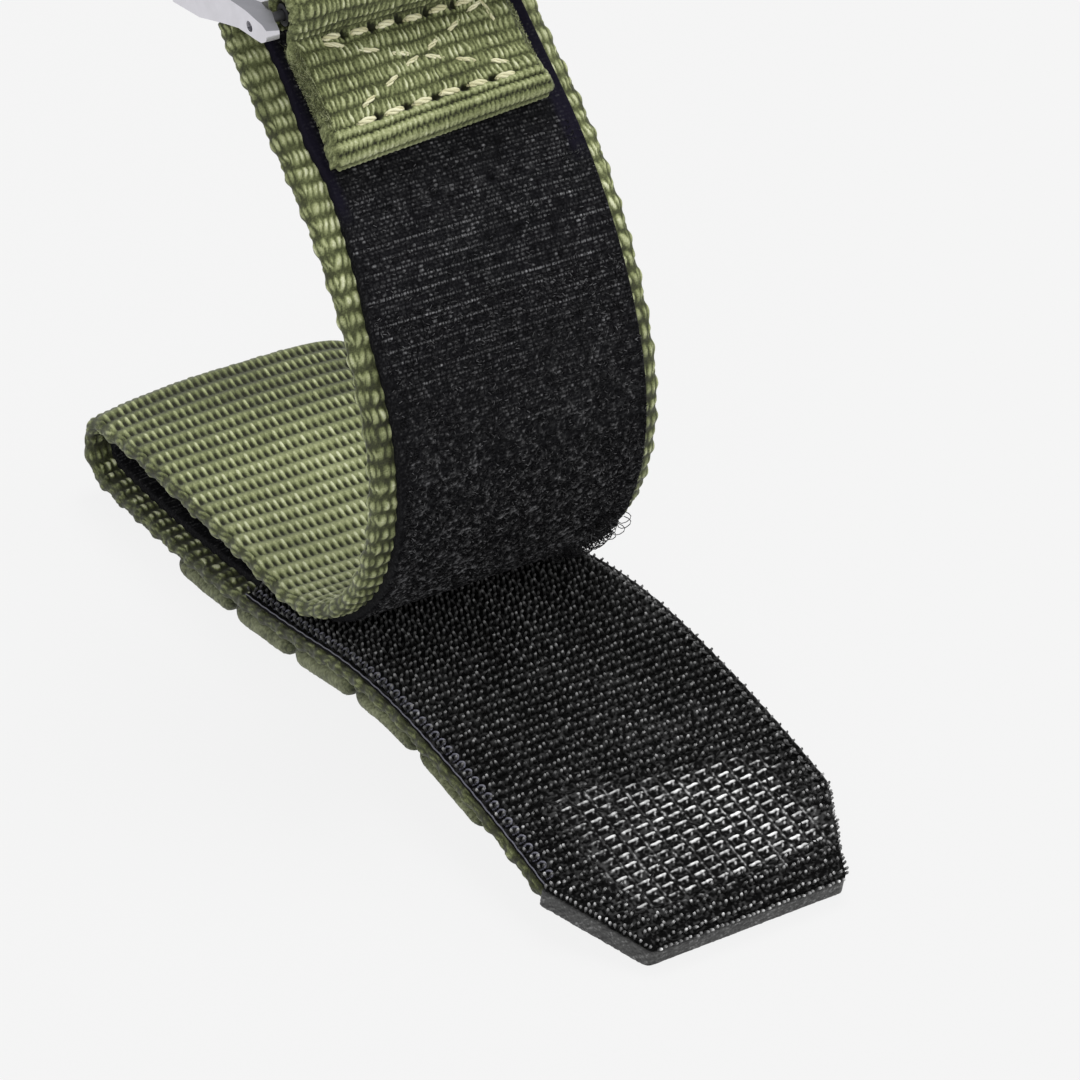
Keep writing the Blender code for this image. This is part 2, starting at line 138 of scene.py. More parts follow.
def stations(start, end, along):
    rows = max(2, int((end - start) / along) + 1)
    return np.linspace(start, end, rows)[:, None]


def grain(x, s, size, key=0):
    """Smooth noise, 0 to 1, with lumps of the given size."""
    x, s = np.asarray(x, float) / size, np.asarray(s, float) / size
    column, row = np.floor(x), np.floor(s)
    u, v = x - column, s - row
    u, v = u * u * (3 - 2 * u), v * v * (3 - 2 * v)
    low = scatter(column, row, key) * (1 - u) + scatter(column + 1, row, key) * u
    high = scatter(column, row + 1, key) * (1 - u) + scatter(column + 1, row + 1, key) * u
    return low * (1 - v) + high * v


def scatter(*keys):
    """The same pseudo-random share, 0 to 1, for the same whole-number keys."""
    mixed = sum(np.asarray(k, float) * w for k, w in zip(keys, (12.9898, 78.233, 37.719)))
    return np.mod(np.abs(np.sin(mixed) * 43758.5453), 1.0)


# Materials


def nodes_of(name):
    made = bpy.data.materials.new(name)
    made.use_nodes = True
    tree = made.node_tree
    return made, tree, tree.nodes["Principled BSDF"]


def fill(node, inputs):
    """Links or sets the node's inputs."""
    for key, value in inputs.items():
        if isinstance(value, bpy.types.NodeSocket):
            node.id_data.links.new(value, node.inputs[key])
        else:
            node.inputs[key].default_value = value


def add_node(tree, kind, inputs=None, **settings):
    node = tree.nodes.new("ShaderNode" + kind)
    for key, value in settings.items():
        setattr(node, key, value)
    fill(node, inputs or {})
    return node


def compute(tree, operation, *values):
    return add_node(tree, "Math", dict(enumerate(values)), operation=operation).outputs[0]


def map_range(tree, value, end, low, high):
    limits = {"Value": value, f"{end} Min": low, f"{end} Max": high}
    return add_node(tree, "MapRange", limits).outputs[0]


def bump(tree, height, strength):
    inputs = {"Height": height, "Strength": strength, "Distance": 0.0001}
    return add_node(tree, "Bump", inputs).outputs[0]


def ramp(tree, factor, stops):
    """Colour by the stops (place, colour), in which a grey is one number."""
    node = add_node(tree, "ValToRGB", {"Fac": factor})
    elements = node.color_ramp.elements
    while len(elements) < len(stops):
        elements.new(0.5)
    for element, (at, colour) in zip(elements, stops):
        element.position = at
        element.color = (*np.broadcast_to(colour, 3), 1.0)
    return node.outputs["Color"]


def noise(tree, scale, detail=2.0, stretch=None):
    vector = add_node(tree, "TexCoord").outputs["Object"]
    if stretch:
        vector = add_node(tree, "Mapping", {"Vector": vector, "Scale": stretch}).outputs[0]
    inputs = {"Vector": vector, "Scale": scale, "Detail": detail}
    return add_node(tree, "TexNoise", inputs).outputs["Fac"]


def add_up(tree, first, second, share):
    """The first value with a share of the second, which is centred so that the mean stays."""
    centred = compute(tree, "SUBTRACT", compute(tree, "MULTIPLY", second, share), share / 2)
    return compute(tree, "ADD", first, centred)


def relief_material(
    name, stops, roughness, sheen=0.0, grain=0.2, scale=9000, rough=0.1, specular=0.5, cloud=0.2
):
    """Colour that follows the relief of the weave, lighter on its raised parts as painted highlight and
    darker in its hollows as painted shade, broken up by fine grain and by broad clouds.
    """
    made, tree, shader = nodes_of(name)
    relief = add_node(tree, "Attribute", attribute_name="relief").outputs["Fac"]
    fine = noise(tree, scale)
    broad = noise(tree, 150.0, 3.0)
    factor = add_up(tree, add_up(tree, relief, fine, grain), broad, cloud)
    fill(shader, {
        "Base Color": ramp(tree, factor, stops), "Normal": bump(tree, fine, rough),
        "Roughness": roughness, "Sheen Weight": sheen, "Specular IOR Level": specular,
    })
    return made


# The webbing's ramp runs from painted shade in the hollows, through the mid green, to a pale painted
# highlight on the float tops
GREEN_STOPS = [
    (0.0, (0.014, 0.015, 0.006)), (0.26, (0.05, 0.057, 0.021)), (0.5, (0.148, 0.166, 0.07)),
    (0.76, (0.32, 0.345, 0.175)), (1.0, (0.58, 0.6, 0.4)),
]
WEBBING = relief_material("woven_green", GREEN_STOPS, 0.6, sheen=0.06, grain=0.5, specular=0.35, cloud=0.4)
TAB_STOPS = [(max(at - 0.05, 0.0), colour) for at, colour in GREEN_STOPS]
TAB = relief_material(
    "tab_green", TAB_STOPS, 0.65, sheen=0.06, grain=0.6, scale=7000, specular=0.3, cloud=0.4
)
GRIP_STOPS = [
    (0.0, (0.01, 0.011, 0.006)), (0.3, (0.055, 0.062, 0.031)), (0.6, (0.14, 0.152, 0.082)),
    (1.0, (0.26, 0.28, 0.165)),
]
GRIP = relief_material(
    "brushed_green", GRIP_STOPS, 0.95, sheen=0.15, grain=1.1, scale=3600, rough=0.7, cloud=0.3
)
LINING_STOPS = [
    (0.0, (0.0012, 0.0012, 0.0014)), (0.3, (0.006, 0.006, 0.007)), (0.5, (0.018, 0.018, 0.019)),
    (0.7, (0.066, 0.066, 0.068)), (0.85, (0.13, 0.13, 0.135)), (1.0, (0.26, 0.26, 0.27)),
]
LINING_FUZZ = relief_material("loop_filament", LINING_STOPS, 0.6, grain=0.1, specular=0.2)
# The tape's black weave; its top stops are near white for the painted reflections on its flat filament
HOOK_BASE_STOPS = [(0.0, 0.0006), (0.3, 0.004), (0.48, 0.05), (0.66, 0.4), (1.0, 0.95)]
HOOK_BASE = relief_material("hook_weave", HOOK_BASE_STOPS, 0.8, grain=0.1, specular=0.06)
# Dark hook filament; its top stops near white are painted glints
HOOK_STOPS = [(0.0, 0.001), (0.35, 0.006), (0.6, 0.06), (0.8, 0.28), (1.0, 0.9)]
HOOK = relief_material("hook_filament", HOOK_STOPS, 0.4, grain=0.06, specular=0.3)
SELVAGE_STOPS = [(0.0, (0.02, 0.02, 0.03)), (0.6, (0.12, 0.12, 0.15)), (1.0, (0.4, 0.4, 0.42))]
SELVAGE = relief_material("tape_selvage", SELVAGE_STOPS, 0.5)
SEAL_STOPS = [(0.0, 0.003), (0.5, (0.045, 0.045, 0.044)), (1.0, 0.26)]
SEAL = relief_material("fused_end", SEAL_STOPS, 0.5, grain=1.3, scale=4200, rough=0.5, cloud=0.3)
PALE_STOPS = [(0.0, (0.12, 0.11, 0.045)), (0.5, (0.5, 0.48, 0.27)), (1.0, (0.76, 0.74, 0.52))]
PALE_THREAD = relief_material("pale_thread", PALE_STOPS, 0.5, sheen=0.2, grain=0.15)
DARK_STOPS = [(0.0, 0.001), (0.6, 0.006), (1.0, 0.03)]
DARK_THREAD = relief_material("dark_thread", DARK_STOPS, 0.8, specular=0.1)

# The strip of lining beside the tab that is painted plain bluish black as deep shade: from where across, and
# from what height, in metres
PAINTED_SHADE_ACROSS = (0.0096, 0.0102)
PAINTED_SHADE_HEIGHT = (0.0455, 0.047)
PAINTED_SHADE_COLOUR = (0.008, 0.007, 0.014, 1.0)


def lining_material():
    """Black loop pile, painted plain bluish black as deep shade where it shows beside the tab."""
    made = relief_material(
        "loop_black", LINING_STOPS, 0.85, grain=0.8, scale=5200, rough=0.3, specular=0.08, cloud=0.12
    )
    tree = made.node_tree
    shader = tree.nodes["Principled BSDF"]
    colour = shader.inputs["Base Color"].links[0].from_socket
    spot = add_node(tree, "TexCoord").outputs["Object"]
    parts = add_node(tree, "SeparateXYZ", {0: spot}).outputs
    # Beside the tab the pile's colour gives way to a plain bluish painted shade
    side = map_range(tree, compute(tree, "ABSOLUTE", parts["X"]), "From", *PAINTED_SHADE_ACROSS)
    high = map_range(tree, parts["Z"], "From", *PAINTED_SHADE_HEIGHT)
    share = compute(tree, "MULTIPLY", compute(tree, "MULTIPLY", side, high), 0.8)
    painted_shade_mix = add_node(tree, "Mix", {0: share, 6: colour, 7: PAINTED_SHADE_COLOUR}, data_type="RGBA")
    tree.links.new(painted_shade_mix.outputs[2], shader.inputs["Base Color"])
    return made


def metal(name, colour, roughness):
    """Brushed metal, its grain drawn out across the strap."""
    made, tree, shader = nodes_of(name)
    brushed = noise(tree, 900.0, 3.0, stretch=(0.12, 1.0, 1.0))
    fill(shader, {
        "Base Color": ramp(tree, brushed, [(0.3, [c * 0.93 for c in colour]), (0.7, colour)]),
        "Roughness": map_range(tree, brushed, "To", roughness - 0.06, roughness + 0.08),
        "Normal": bump(tree, brushed, 0.06), "Metallic": 1.0,
    })
    return made


LINING = lining_material()
STEEL = metal("satin_steel", (0.76, 0.75, 0.79), 0.6)
# A darker copy of the satin steel, painted shade for the ears' upper faces
STEEL_IN_PAINTED_SHADE = metal("steel_in_painted_shade", (0.36, 0.36, 0.39), 0.6)
SPRING = metal("spring_steel", (0.5, 0.5, 0.52), 0.35)
# The spring bar's steel, darkened as painted shade in the gap between the ear and the tab
BAR_STEEL_PAINTED_SHADE = metal("bar_steel_painted_shade", (0.12, 0.12, 0.13), 0.5)


# Meshes


def add_object(name, data):
    made = bpy.data.objects.new(name, data)
    bpy.context.collection.objects.link(made)
    return made


def mesh_object(name, points, faces, finish, relief=None, smooth=True):
    """Mesh whose faces all have the same number of corners, from points in millimetres."""
    data = bpy.data.meshes.new(name)
    points = np.asarray(points, float).reshape(-1, 3)
    faces = np.asarray(faces, np.int32)
    data.vertices.add(len(points))
    data.vertices.foreach_set("co", (points * MM).ravel())
    data.loops.add(faces.size)
    data.loops.foreach_set("vertex_index", faces.ravel())
    data.polygons.add(len(faces))
    data.polygons.foreach_set("loop_start", np.arange(0, faces.size, faces.shape[1], dtype=np.int32))
    data.update(calc_edges=True)
    data.polygons.foreach_set("use_smooth", np.full(len(faces), smooth))
    if relief is not None:
        layer = data.attributes.new("relief", "FLOAT", "POINT")
        layer.data.foreach_set("value", np.asarray(relief, np.float32).ravel())
    data.materials.append(finish)
    return add_object(name, data)


def grid_faces(rows, cols, closed=False, first=0):
    index = first + np.arange(rows * cols).reshape(rows, cols)
    after = np.roll(index, -1, axis=1)
    used = cols if closed else cols - 1
    quads = [index[:-1, :used], after[:-1, :used], after[1:, :used], index[1:, :used]]
    return np.stack(quads, -1).reshape(-1, 4)


def grid_object(name, points, finish, relief=None, closed=False):
    rows, cols = points.shape[:2]
    return mesh_object(name, points, grid_faces(rows, cols, closed), finish, relief)


def tubes_object(name, paths, radii, finish, relief=None, sides=4):
    """Tubes along paths (count, points, 3), with a radius for each point, and open ends."""
    count, length = paths.shape[:2]
    ahead = np.gradient(paths, axis=1)
    ahead /= np.linalg.norm(ahead, axis=-1, keepdims=True) + 1e-9
    helper = np.where(np.abs(ahead[..., :1]) > 0.8, [0.0, 0.0, 1.0], [1.0, 0.0, 0.0])
    side = np.cross(ahead, helper)
    side /= np.linalg.norm(side, axis=-1, keepdims=True) + 1e-9
    up = np.cross(side, ahead)
    angle = 2 * pi * np.arange(sides) / sides
    ring = side[..., None, :] * np.cos(angle)[:, None] + up[..., None, :] * np.sin(angle)[:, None]
    radii = np.broadcast_to(radii, (count, length))
    points = paths[..., None, :] + ring * radii[..., None, None]
    faces = grid_faces(length, sides, closed=True)
    faces = (faces[None] + (np.arange(count) * length * sides)[:, None, None]).reshape(-1, 4)
    if relief is not None:
        relief = np.broadcast_to(np.asarray(relief)[..., None], (count, length, sides))
    return mesh_object(name, points, faces, finish, relief)


# Webbing

# Where the strip's flat ends, how far its rounded edge reaches on, and half its thickness under the ribs
EDGE_AT = 12.5
EDGE_WIDE = 0.4
BASE_HALF = 0.62

# Floats of each face: half width, half height, then the dark eye's place, half width and half height
FLOAT_PITCH = 0.69
FRONT_FLOATS = (0.27, 0.38, 0.12, 0.22, 0.27)
BACK_FLOATS = (0.38, 0.4, 0.0, 0.15, 0.5)

# The webbing is plain between these, under the lining
LINING_COVER = (-10.1, 10.6)


def weave(p, s, pitch, front, lean=0.0):
    """Height (mm) and relief of the warp floats that cross each rib, staggered from rib to rib.

    On the front (B) face each rib is a smooth band with a row of short floats, painted bright as a
    highlight, and dark eyes of painted shade under them. On the back (A) face the floats fill the rib, and
    dark lines of painted shade part them.
    """
    count = rib_count(s) + (0 if front else 0.26) * (grain(p, s, 0.7, 51) - 0.5)
    wide, tall, eye_at, eye_wide, eye_tall = FRONT_FLOATS if front else BACK_FLOATS
    streak, eye = 0.0, 0.0
    for step in (-1, 0, 1):
        rib = np.round(count) + step
        v = count - rib
        across = p / pitch + 0.5 * np.mod(rib, 2) + (lean + 0.2 * front) * v
        across = across + 0.15 * (scatter(rib, 5.0) - 0.5)
        across = across + (0.0 if front else 0.5) * (grain(p, s, 0.9, 53) - 0.5)
        column = np.round(across)
        u = across - column
        size = 0.5 + 0.62 * scatter(rib, column)
        dome = 1 - np.abs(u / wide) ** 2 - np.abs(v / tall) ** (2 if front else 3)
        dome = np.sqrt(cut(dome)) * size
        gap = cut(1 - ((np.abs(u) - 0.5) / eye_wide) ** 2 - ((v - eye_at) / eye_tall) ** 2)
        streak = np.maximum(streak, dome)
        eye = np.maximum(eye, gap)
    band = 0.5 + 0.5 * np.cos(2 * pi * (count + (0.34 if front else 0.0)))
    if front:
        lines = 0.5 + 0.5 * np.cos(2 * pi * (p / pitch + 0.5))
        relief = 0.25 + 0.34 * band + 0.58 * streak - 0.5 * eye - 0.06 * lines
        return 0.16 * band + 0.14 * streak - 0.18 * eye, relief
    rough = 0.24 * (grain(p, s, 0.2, 57) - 0.5)
    return 0.17 * band + 0.07 * streak - 0.07 * eye, 0.13 + 0.22 * band + 0.52 * streak - 0.16 * eye + rough


def tooth(s, shift=0.0):
    """Scallop of the selvage, 0 to 1, one for each two ribs."""
    v = rib_count(s) / 2 + shift
    v = v - np.round(v)
    return cut(1 - np.abs(v / 0.5) ** 2.2) ** 0.7


def back_pitch(s):
    """Spacing of the floats on the side that carries the lining, closer towards the bar."""
    return np.interp(s, [80.0, 130.0, 162.0, 178.0], [0.6, 0.66, 0.66, 0.47])


def webbing_section(step):
    """Closed section as (x, n, outward x, outward n, distance round it, kind)."""
    left, right = LINING_COVER
    columns = [(x, -BASE_HALF, 0, -1, x, "front") for x in np.arange(EDGE_AT, -EDGE_AT, -step)]
    for side in (-1, 1):
        for turn in np.linspace(-1, 1, 17) * -side:
            angle = turn * pi / 2
            x = side * (EDGE_AT + EDGE_WIDE * cos(angle))
            columns.append((x, BASE_HALF * sin(angle), side * cos(angle), sin(angle), turn, "edge"))
        if side < 0:
            columns += [(x, BASE_HALF, 0, 1, x, "back") for x in np.arange(-EDGE_AT + step, left, step)]
            columns += [(x, BASE_HALF, 0, 1, x, "hidden") for x in np.linspace(left, right, 8)]
            columns += [(x, BASE_HALF, 0, 1, x, "back") for x in np.arange(right + step, EDGE_AT, step)]
    return columns


def webbing(name, start, end, step, along, capped):
    """Woven strip between two stations, closed at the ends that are marked as capped."""
    s = stations(start, end, along)
    columns = webbing_section(step)
    x, n, out_x, out_n, turn = (np.array([c[k] for c in columns], float)[None] for k in range(5))
    kind = np.array([c[5] for c in columns])[None]
    front, front_relief = weave(x, s, FLOAT_PITCH, True)
    back, back_relief = weave(x, s, back_pitch(s), False)
    round_edge, edge_relief = weave(turn * 1.1, s, 0.6, False, lean=0.55)
    # Painted shade darkens the front face round the fold's apex, and painted light brightens the middle leg
    # past station 100
    front_relief = front_relief - 0.24 * unit(1 - np.abs(s - 90) / 20)
    front_relief = front_relief + 0.05 * unit((s - 100) / 18)
    # Painted shade on the back face and the rounded edges, strongest along the hook leg and inside the fold
    # and gone past the bend: this factor is 0 where it is strongest and 1 where there is none
    unshaded_share = np.interp(s, [78, 92, 128, 150], [0.0, 0.35, 0.7, 1])
    patch = grain(x, s, 2.3, 33)
    back_relief = unit(back_relief * (0.85 + 0.3 * patch) * (1.35 - 0.35 * unshaded_share)) ** (3.2 - 2.2 * unshaded_share)
    back_relief = back_relief * np.interp(s, [160, 176], [1.04, 0.9]) + np.interp(s, [160, 176], [0.0, 0.22])
    fleck = 0.3 * (grain(turn * 2 + x, s, 0.42, 21) > 0.66) * (1 - unshaded_share)
    edge_relief = edge_relief * (0.5 + 0.5 * unshaded_share) + fleck
    scallop = tooth(s, 0.12 * np.clip(turn, -1, 1))
    height = np.where(kind == "front", front, np.where(kind == "back", back, round_edge * 0.8))
    relief = np.where(kind == "front", front_relief, np.where(kind == "back", back_relief, edge_relief))
    height = np.where(kind == "hidden", 0.0, height)
    relief = np.where(kind == "hidden", 0.2, relief)
    near_edge = unit((np.abs(x) - 11.9) / 0.9)
    # The relief is a little darker near the edges, and the selvage's teeth get a painted highlight, less
    # where the painted shade lies
    relief = relief * (1 - 0.15 * near_edge) + 0.12 * near_edge * scallop * unshaded_share
    x_out = x + out_x * height + np.sign(x) * near_edge * (0.3 * scallop - 0.16)
    thin = 0.22 + 0.1 * (1 - scallop)
    n_out = n * (1 - thin * near_edge) + out_n * height
    points = place(x_out, s, n_out)
    inner = place(x * 0.96, s, n * 0)
    if capped[0]:
        points = np.concatenate([inner[:1], points])
        relief = np.concatenate([relief[:1] * 0.4, relief])
    if capped[1]:
        points = np.concatenate([points, inner[-1:]])
        relief = np.concatenate([relief, relief[-1:] * 0.4])
    return grid_object(name, points, WEBBING, relief, closed=True)


def add_webbing():
    fine, plain, coarse = (0.09, 0.15), (0.115, 0.17), (0.115, 0.22)
    pieces = [
        ("webbing_hook_cloth", 9.0, FOLD_SPAN[0], coarse, "hook_leg", "webbing_hook_leg"),
        ("webbing_fold_cloth", *FOLD_SPAN, fine, None, None),
        ("webbing_middle_cloth", FOLD_SPAN[1], BEND_SPAN[0], fine, "middle_leg", "webbing_middle_leg"),
        ("webbing_bend_cloth", *BEND_SPAN, plain, None, None),
        ("webbing_anchor_cloth", BEND_SPAN[1], STRAP_END + 1.2, plain, "anchor_leg", "webbing_anchor_leg"),
    ]
    for name, start, end, mesh, body, node in pieces:
        made = webbing(name, start, end, *mesh, (body == "hook_leg", body == "anchor_leg"))
        carry(made, start, body, node)


def carry(made, start, body, node=None):
    """Cloth on a leg rides its body and stands for its solid. Cloth between two legs has its placement baked
    into its mesh.
    """
    if body:
        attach(made, body)
        if node:
            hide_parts(node)
    elif start == FOLD_SPAN[0]:
        blend_fold(made)
    else:
        blend_bend(made)


def blend_fold(made):
    """Finds the path points near the fold's apex, between the two legs' linings, but doesn't use them, and
    bakes the cloth's placement into its mesh.
    """
    low, high = (place(0, s, 0) for s in FOLD_FLEX)
    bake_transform(made)


def blend_bend(made):
    low, high = (place(0, s, 0) for s in BEND_FLEX)
    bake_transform(made)


# Lining

# The left edge wavers along the selvage, and the right one is straight
LEFT_STATIONS = [150.0, 160.0, 165.0, 170.0, 176.5, 180.0, 185.0]
LEFT_EDGES = [-11.0, -11.15, -11.35, -11.0, -10.6, -10.9, -10.4]
LINING_RIGHT = 11.4
LINING_TOP = 1.5
LINING_SEAM = PATH_END - 18.4


def lining_left(s):
    return np.interp(s, LEFT_STATIONS, LEFT_EDGES)


def lining_cloth(name, start, end, columns, along):
    """Layer sewn on the webbing's back, with rounded edges that run down to it."""
    s = stations(start, end, along)
    left = lining_left(s)
    flat = np.linspace(0.006, 0.994, columns)
    share = np.concatenate([[0, -0.001, 0.0015], flat, [0.9985, 1.001, 1]])[None]
    x = left + (LINING_RIGHT - left) * share
    height, relief = lining_height(x, s)
    n = np.broadcast_to(LINING_TOP - 0.12 + height, x.shape).copy()
    relief = np.broadcast_to(relief, x.shape).copy()
    for column, drop in ((0, 0.95), (1, 0.45), (2, 0.08), (-1, 0.95), (-2, 0.45), (-3, 0.08)):
        n[:, column] = LINING_TOP - 0.1 - drop
        relief[:, column] = 0.32
    return grid_object(name, place(x, s, n), LINING, relief)


def lining_height(x, s):
    """Knitted courses, each third one an almost unbroken bright line.

    Round the bend they are all brushed into specks.
    """
    row = s / 0.32 + 0.5 * (grain(x, s, 5.0, 31) - 0.5)
    which = np.round(row)
    v = row - which
    major = np.mod(which, 3) == 0
    across = x / np.where(major, 0.27, 0.46) + 0.7 * scatter(which, 3.0) + 0.7 * grain(x, s, 1.1, 35)
    column = np.round(across)
    u = across - column
    size = scatter(which, column)
    dash = cut(1 - np.abs(u / 0.45) ** 3 - (v / 0.42) ** 2) ** 0.5
    line = grain(x, which * 1.9, 2.6, 37)
    strong = unit(1 - np.abs(s - 166) / 11)
    patch = grain(x, s, 0.7, 17)
    bright = np.where(major, 0.24 + (0.1 + 0.34 * strong) * line + 0.2 * size, 0.12 + 0.46 * size ** 1.6)
    brushed = unit(1 - np.abs(s - 138) / 26) ** 0.8
    inside = unit(np.minimum(x - lining_left(s), LINING_RIGHT - x) - 0.15)
    knit = dash * bright * (0.72 + 0.5 * patch) * (0.7 + 0.3 * inside)
    fuzz = unit(grain(x, s, 0.26, 5) * 1.9 - 0.72 + 0.7 * (grain(x, s, 0.13, 6) - 0.5))
    hole = unit(grain(x, s, 0.5, 19) * 2 - 1.15)
    loose = 0.72 * fuzz * (0.6 + 0.4 * inside) - 0.1
    relief = 0.24 + (knit - 0.2 * hole) * (1 - brushed) + brushed * loose
    height = 0.12 * knit * (1 - brushed) + 0.2 * brushed * fuzz
    seam = np.exp(-(((s - LINING_SEAM) / 0.3) ** 2)) * (np.abs(x) < 7.8)
    # Where the seam puckers, its dips are darker as painted shade, and the seam's line is lighter
    pucker = seam * (0.5 + 0.5 * np.cos(2 * pi * x / 2.4))
    return height - 0.2 * pucker, relief - 0.3 * pucker + 0.2 * seam


def add_lining():
    fine, coarse = (205, 0.085), (90, 0.2)
    pieces = [
        ("lining_hook_cloth", 57.3, FOLD_SPAN[0], coarse, "hook_leg", "loop_lining_hook_leg"),
        ("lining_fold_cloth", *FOLD_SPAN, coarse, None, None),
        ("lining_middle_cloth", FOLD_SPAN[1], BEND_SPAN[0], coarse, "middle_leg", "loop_lining_middle_leg"),
        ("lining_bend_cloth", *BEND_SPAN, fine, None, None),
        ("lining_anchor_cloth", BEND_SPAN[1], STRAP_END + 0.8, fine, "anchor_leg", "loop_lining_anchor_leg"),
    ]
    for name, start, end, mesh, body, node in pieces:
        made = lining_cloth(name, start, end, *mesh)
        carry(made, start, body, node)
    add_fuzz()


def add_fuzz():
    """Loops of filament that stand off the lining, thickest round the bend."""
    groups = [
        ("loop_fuzz_upper", 163.0, 177.0, 900, "anchor_leg", 0.3),
        ("loop_fuzz_anchor", 153.0, 166.0, 3200, "anchor_leg", 0.45),
        ("loop_fuzz_bend_low", 129.0, 141.2, 5600, None, 0.7),
        ("loop_fuzz_bend_high", 140.8, 153.0, 5600, None, 0.7),
        ("loop_fuzz_edge", 130.5, 143.0, 100, None, 4.0),
    ]
    for name, start, end, count, body, tall in groups:
        wild = tall > 1
        s = rng.uniform(start + 0.2, end - 0.2, count)
        x = rng.uniform(np.where(wild, 8.5, lining_left(s) + 0.4), LINING_RIGHT - 0.1)
        reach = rng.uniform(0.03, 0.2, count) * tall + wild * 0.2
        angle = rng.normal(0, 0.35 + 0.7 * min(tall, 1), count)
        span = rng.uniform(0.07, 0.17, count) * (2.4 if wild else 1.0)
        t = np.linspace(0, 1, 9 if wild else 5)[None]
        swing = np.cos(pi * t)
        wave = 0.35 * reach[:, None] * np.sin(2 * pi * t) * wild
        loop_x = x[:, None] + (span * np.cos(angle))[:, None] * swing + wave
        loop_s = s[:, None] + (span * np.sin(angle))[:, None] * swing + wave * 0.6
        loop_n = LINING_TOP - 0.08 + reach[:, None] * np.sin(pi * t)
        paths = place(loop_x, loop_s, loop_n)
        relief = 0.16 + 0.66 * rng.random(count)[:, None] ** 2.4
        made = tubes_object(name, paths, 0.045 if wild else 0.036, LINING_FUZZ, relief, sides=3)
        carry(made, start, body)


# Hook tape

# The tape's weave: width and length of a cell, and the columns of its mesh
TAPE_PITCH = 1.45
TAPE_RUN = 1.0
TAPE_COLUMNS = 255
TAPE_TOP = 1.3
TAPE_END = 56.85

# Along a hook from foot to end: reach of its bend, height, lean, brightness (a painted highlight that grows
# towards the cap) and radius
HOOK_PROFILE = [
    [0.0, 0.0, 0.02, 0.12, 0.5, 1.0], [0.0, 0.35, 0.7, 0.93, 1.0, 0.9], [0.0, 0.35, 0.7, 0.93, 1.0, 1.05],
    [0.3, 0.48, 0.62, 0.85, 1.0, 0.95], [0.105, 0.11, 0.12, 0.125, 0.11, 0.07],
]

# The tip's corners are cut by this much over this length
TIP_CUT = 4.2
TIP_LENGTH = 8.8


def tip_half(s):
    return HALF_WIDTH - 0.2 - TIP_CUT * unit(1 - s / TIP_LENGTH)


def flat_area(x, s):
    """1 where the hooks are left out, so that the tape's own weave shows."""
    across = 1 / (1 + np.exp(-(x + 8.2) * 3)) / (1 + np.exp((x - 10.0) * 3))
    run = 1 / (1 + np.exp(-(s - 3.2) * 3)) / (1 + np.exp((s - 15.4 + 0.15 * x) * 3))
    return across * run


def tape_height(x, s):
    """Plain weave: dashes of filament in rows, each with a leg, and lines between them, all painted bright
    as reflections off the flat filament.
    """
    across, row = x / TAPE_PITCH, s / TAPE_RUN
    column, which = np.round(across), np.round(row)
    u, v = across - column, row - which
    bow = v + 0.06 * u - 0.05 * np.sin(2 * pi * u)
    dash = cut(1 - np.abs(u / 0.38) ** 6 - np.abs(bow / 0.14) ** 2) ** 0.5
    leg = cut(1 - ((u - 0.19 - 0.4 * (v + 0.1)) / 0.1) ** 2 - ((v + 0.3) / 0.3) ** 2)
    line_at = across + 0.5 - np.round(across + 0.5) - 0.05 * v
    wave = (0.5 + 0.5 * np.cos(2 * pi * (row + 0.6))) ** 3
    line = cut(1 - (line_at / 0.1) ** 2) * (0.62 + 0.38 * wave)
    flat = flat_area(x, s)
    bright = 0.62 + 0.38 * scatter(which, column) + 0.2 * (grain(x, s, 2.0, 61) - 0.5)
    # A painted pool of light, brightest near x 4.5 and s 8, dims the reflections away from it
    lit = np.clip(1.12 - 0.033 * np.hypot(x - 4.5, (s - 8.0) * 1.1), 0.5, 1.04)
    mesh = 0.36 * grain(x, s, 0.2, 41)
    relief = 0.12 + mesh + flat * lit * (0.7 * dash * bright + 0.3 * line + 0.3 * leg)
    return 0.12 * dash + 0.05 * line + 0.04 * leg, relief


def add_hook_tape():
    s = np.concatenate([np.arange(0.05, 18.0, 0.085), np.arange(18.0, TAPE_END, 0.25)])[:, None]
    x = np.linspace(-1, 1, TAPE_COLUMNS)[None] * tip_half(s)
    height, relief = tape_height(x, s)
    points = place(x, s, TAPE_TOP + height)
    sides = [place(x[:, [k]] * 1.004, s, n) for k in (0, -1) for n in (0.95, 1.25)]
    points = np.concatenate([sides[0], sides[1], points, sides[3], sides[2]], axis=1)
    side = np.full((len(s), 1), 0.3)
    relief = np.concatenate([side * 0.5, side, relief, side, side * 0.5], axis=1)
    front = place(points[:1, :, 0], 0.0, 0.95)
    points = np.concatenate([front, points])
    relief = np.concatenate([relief[:1] * 0.5, relief])
    made = grid_object("hook_tape_cloth", points, HOOK_BASE, relief)
    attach(made, "hook_leg")
    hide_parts("hook_tape")
    add_hooks()
    add_selvage()


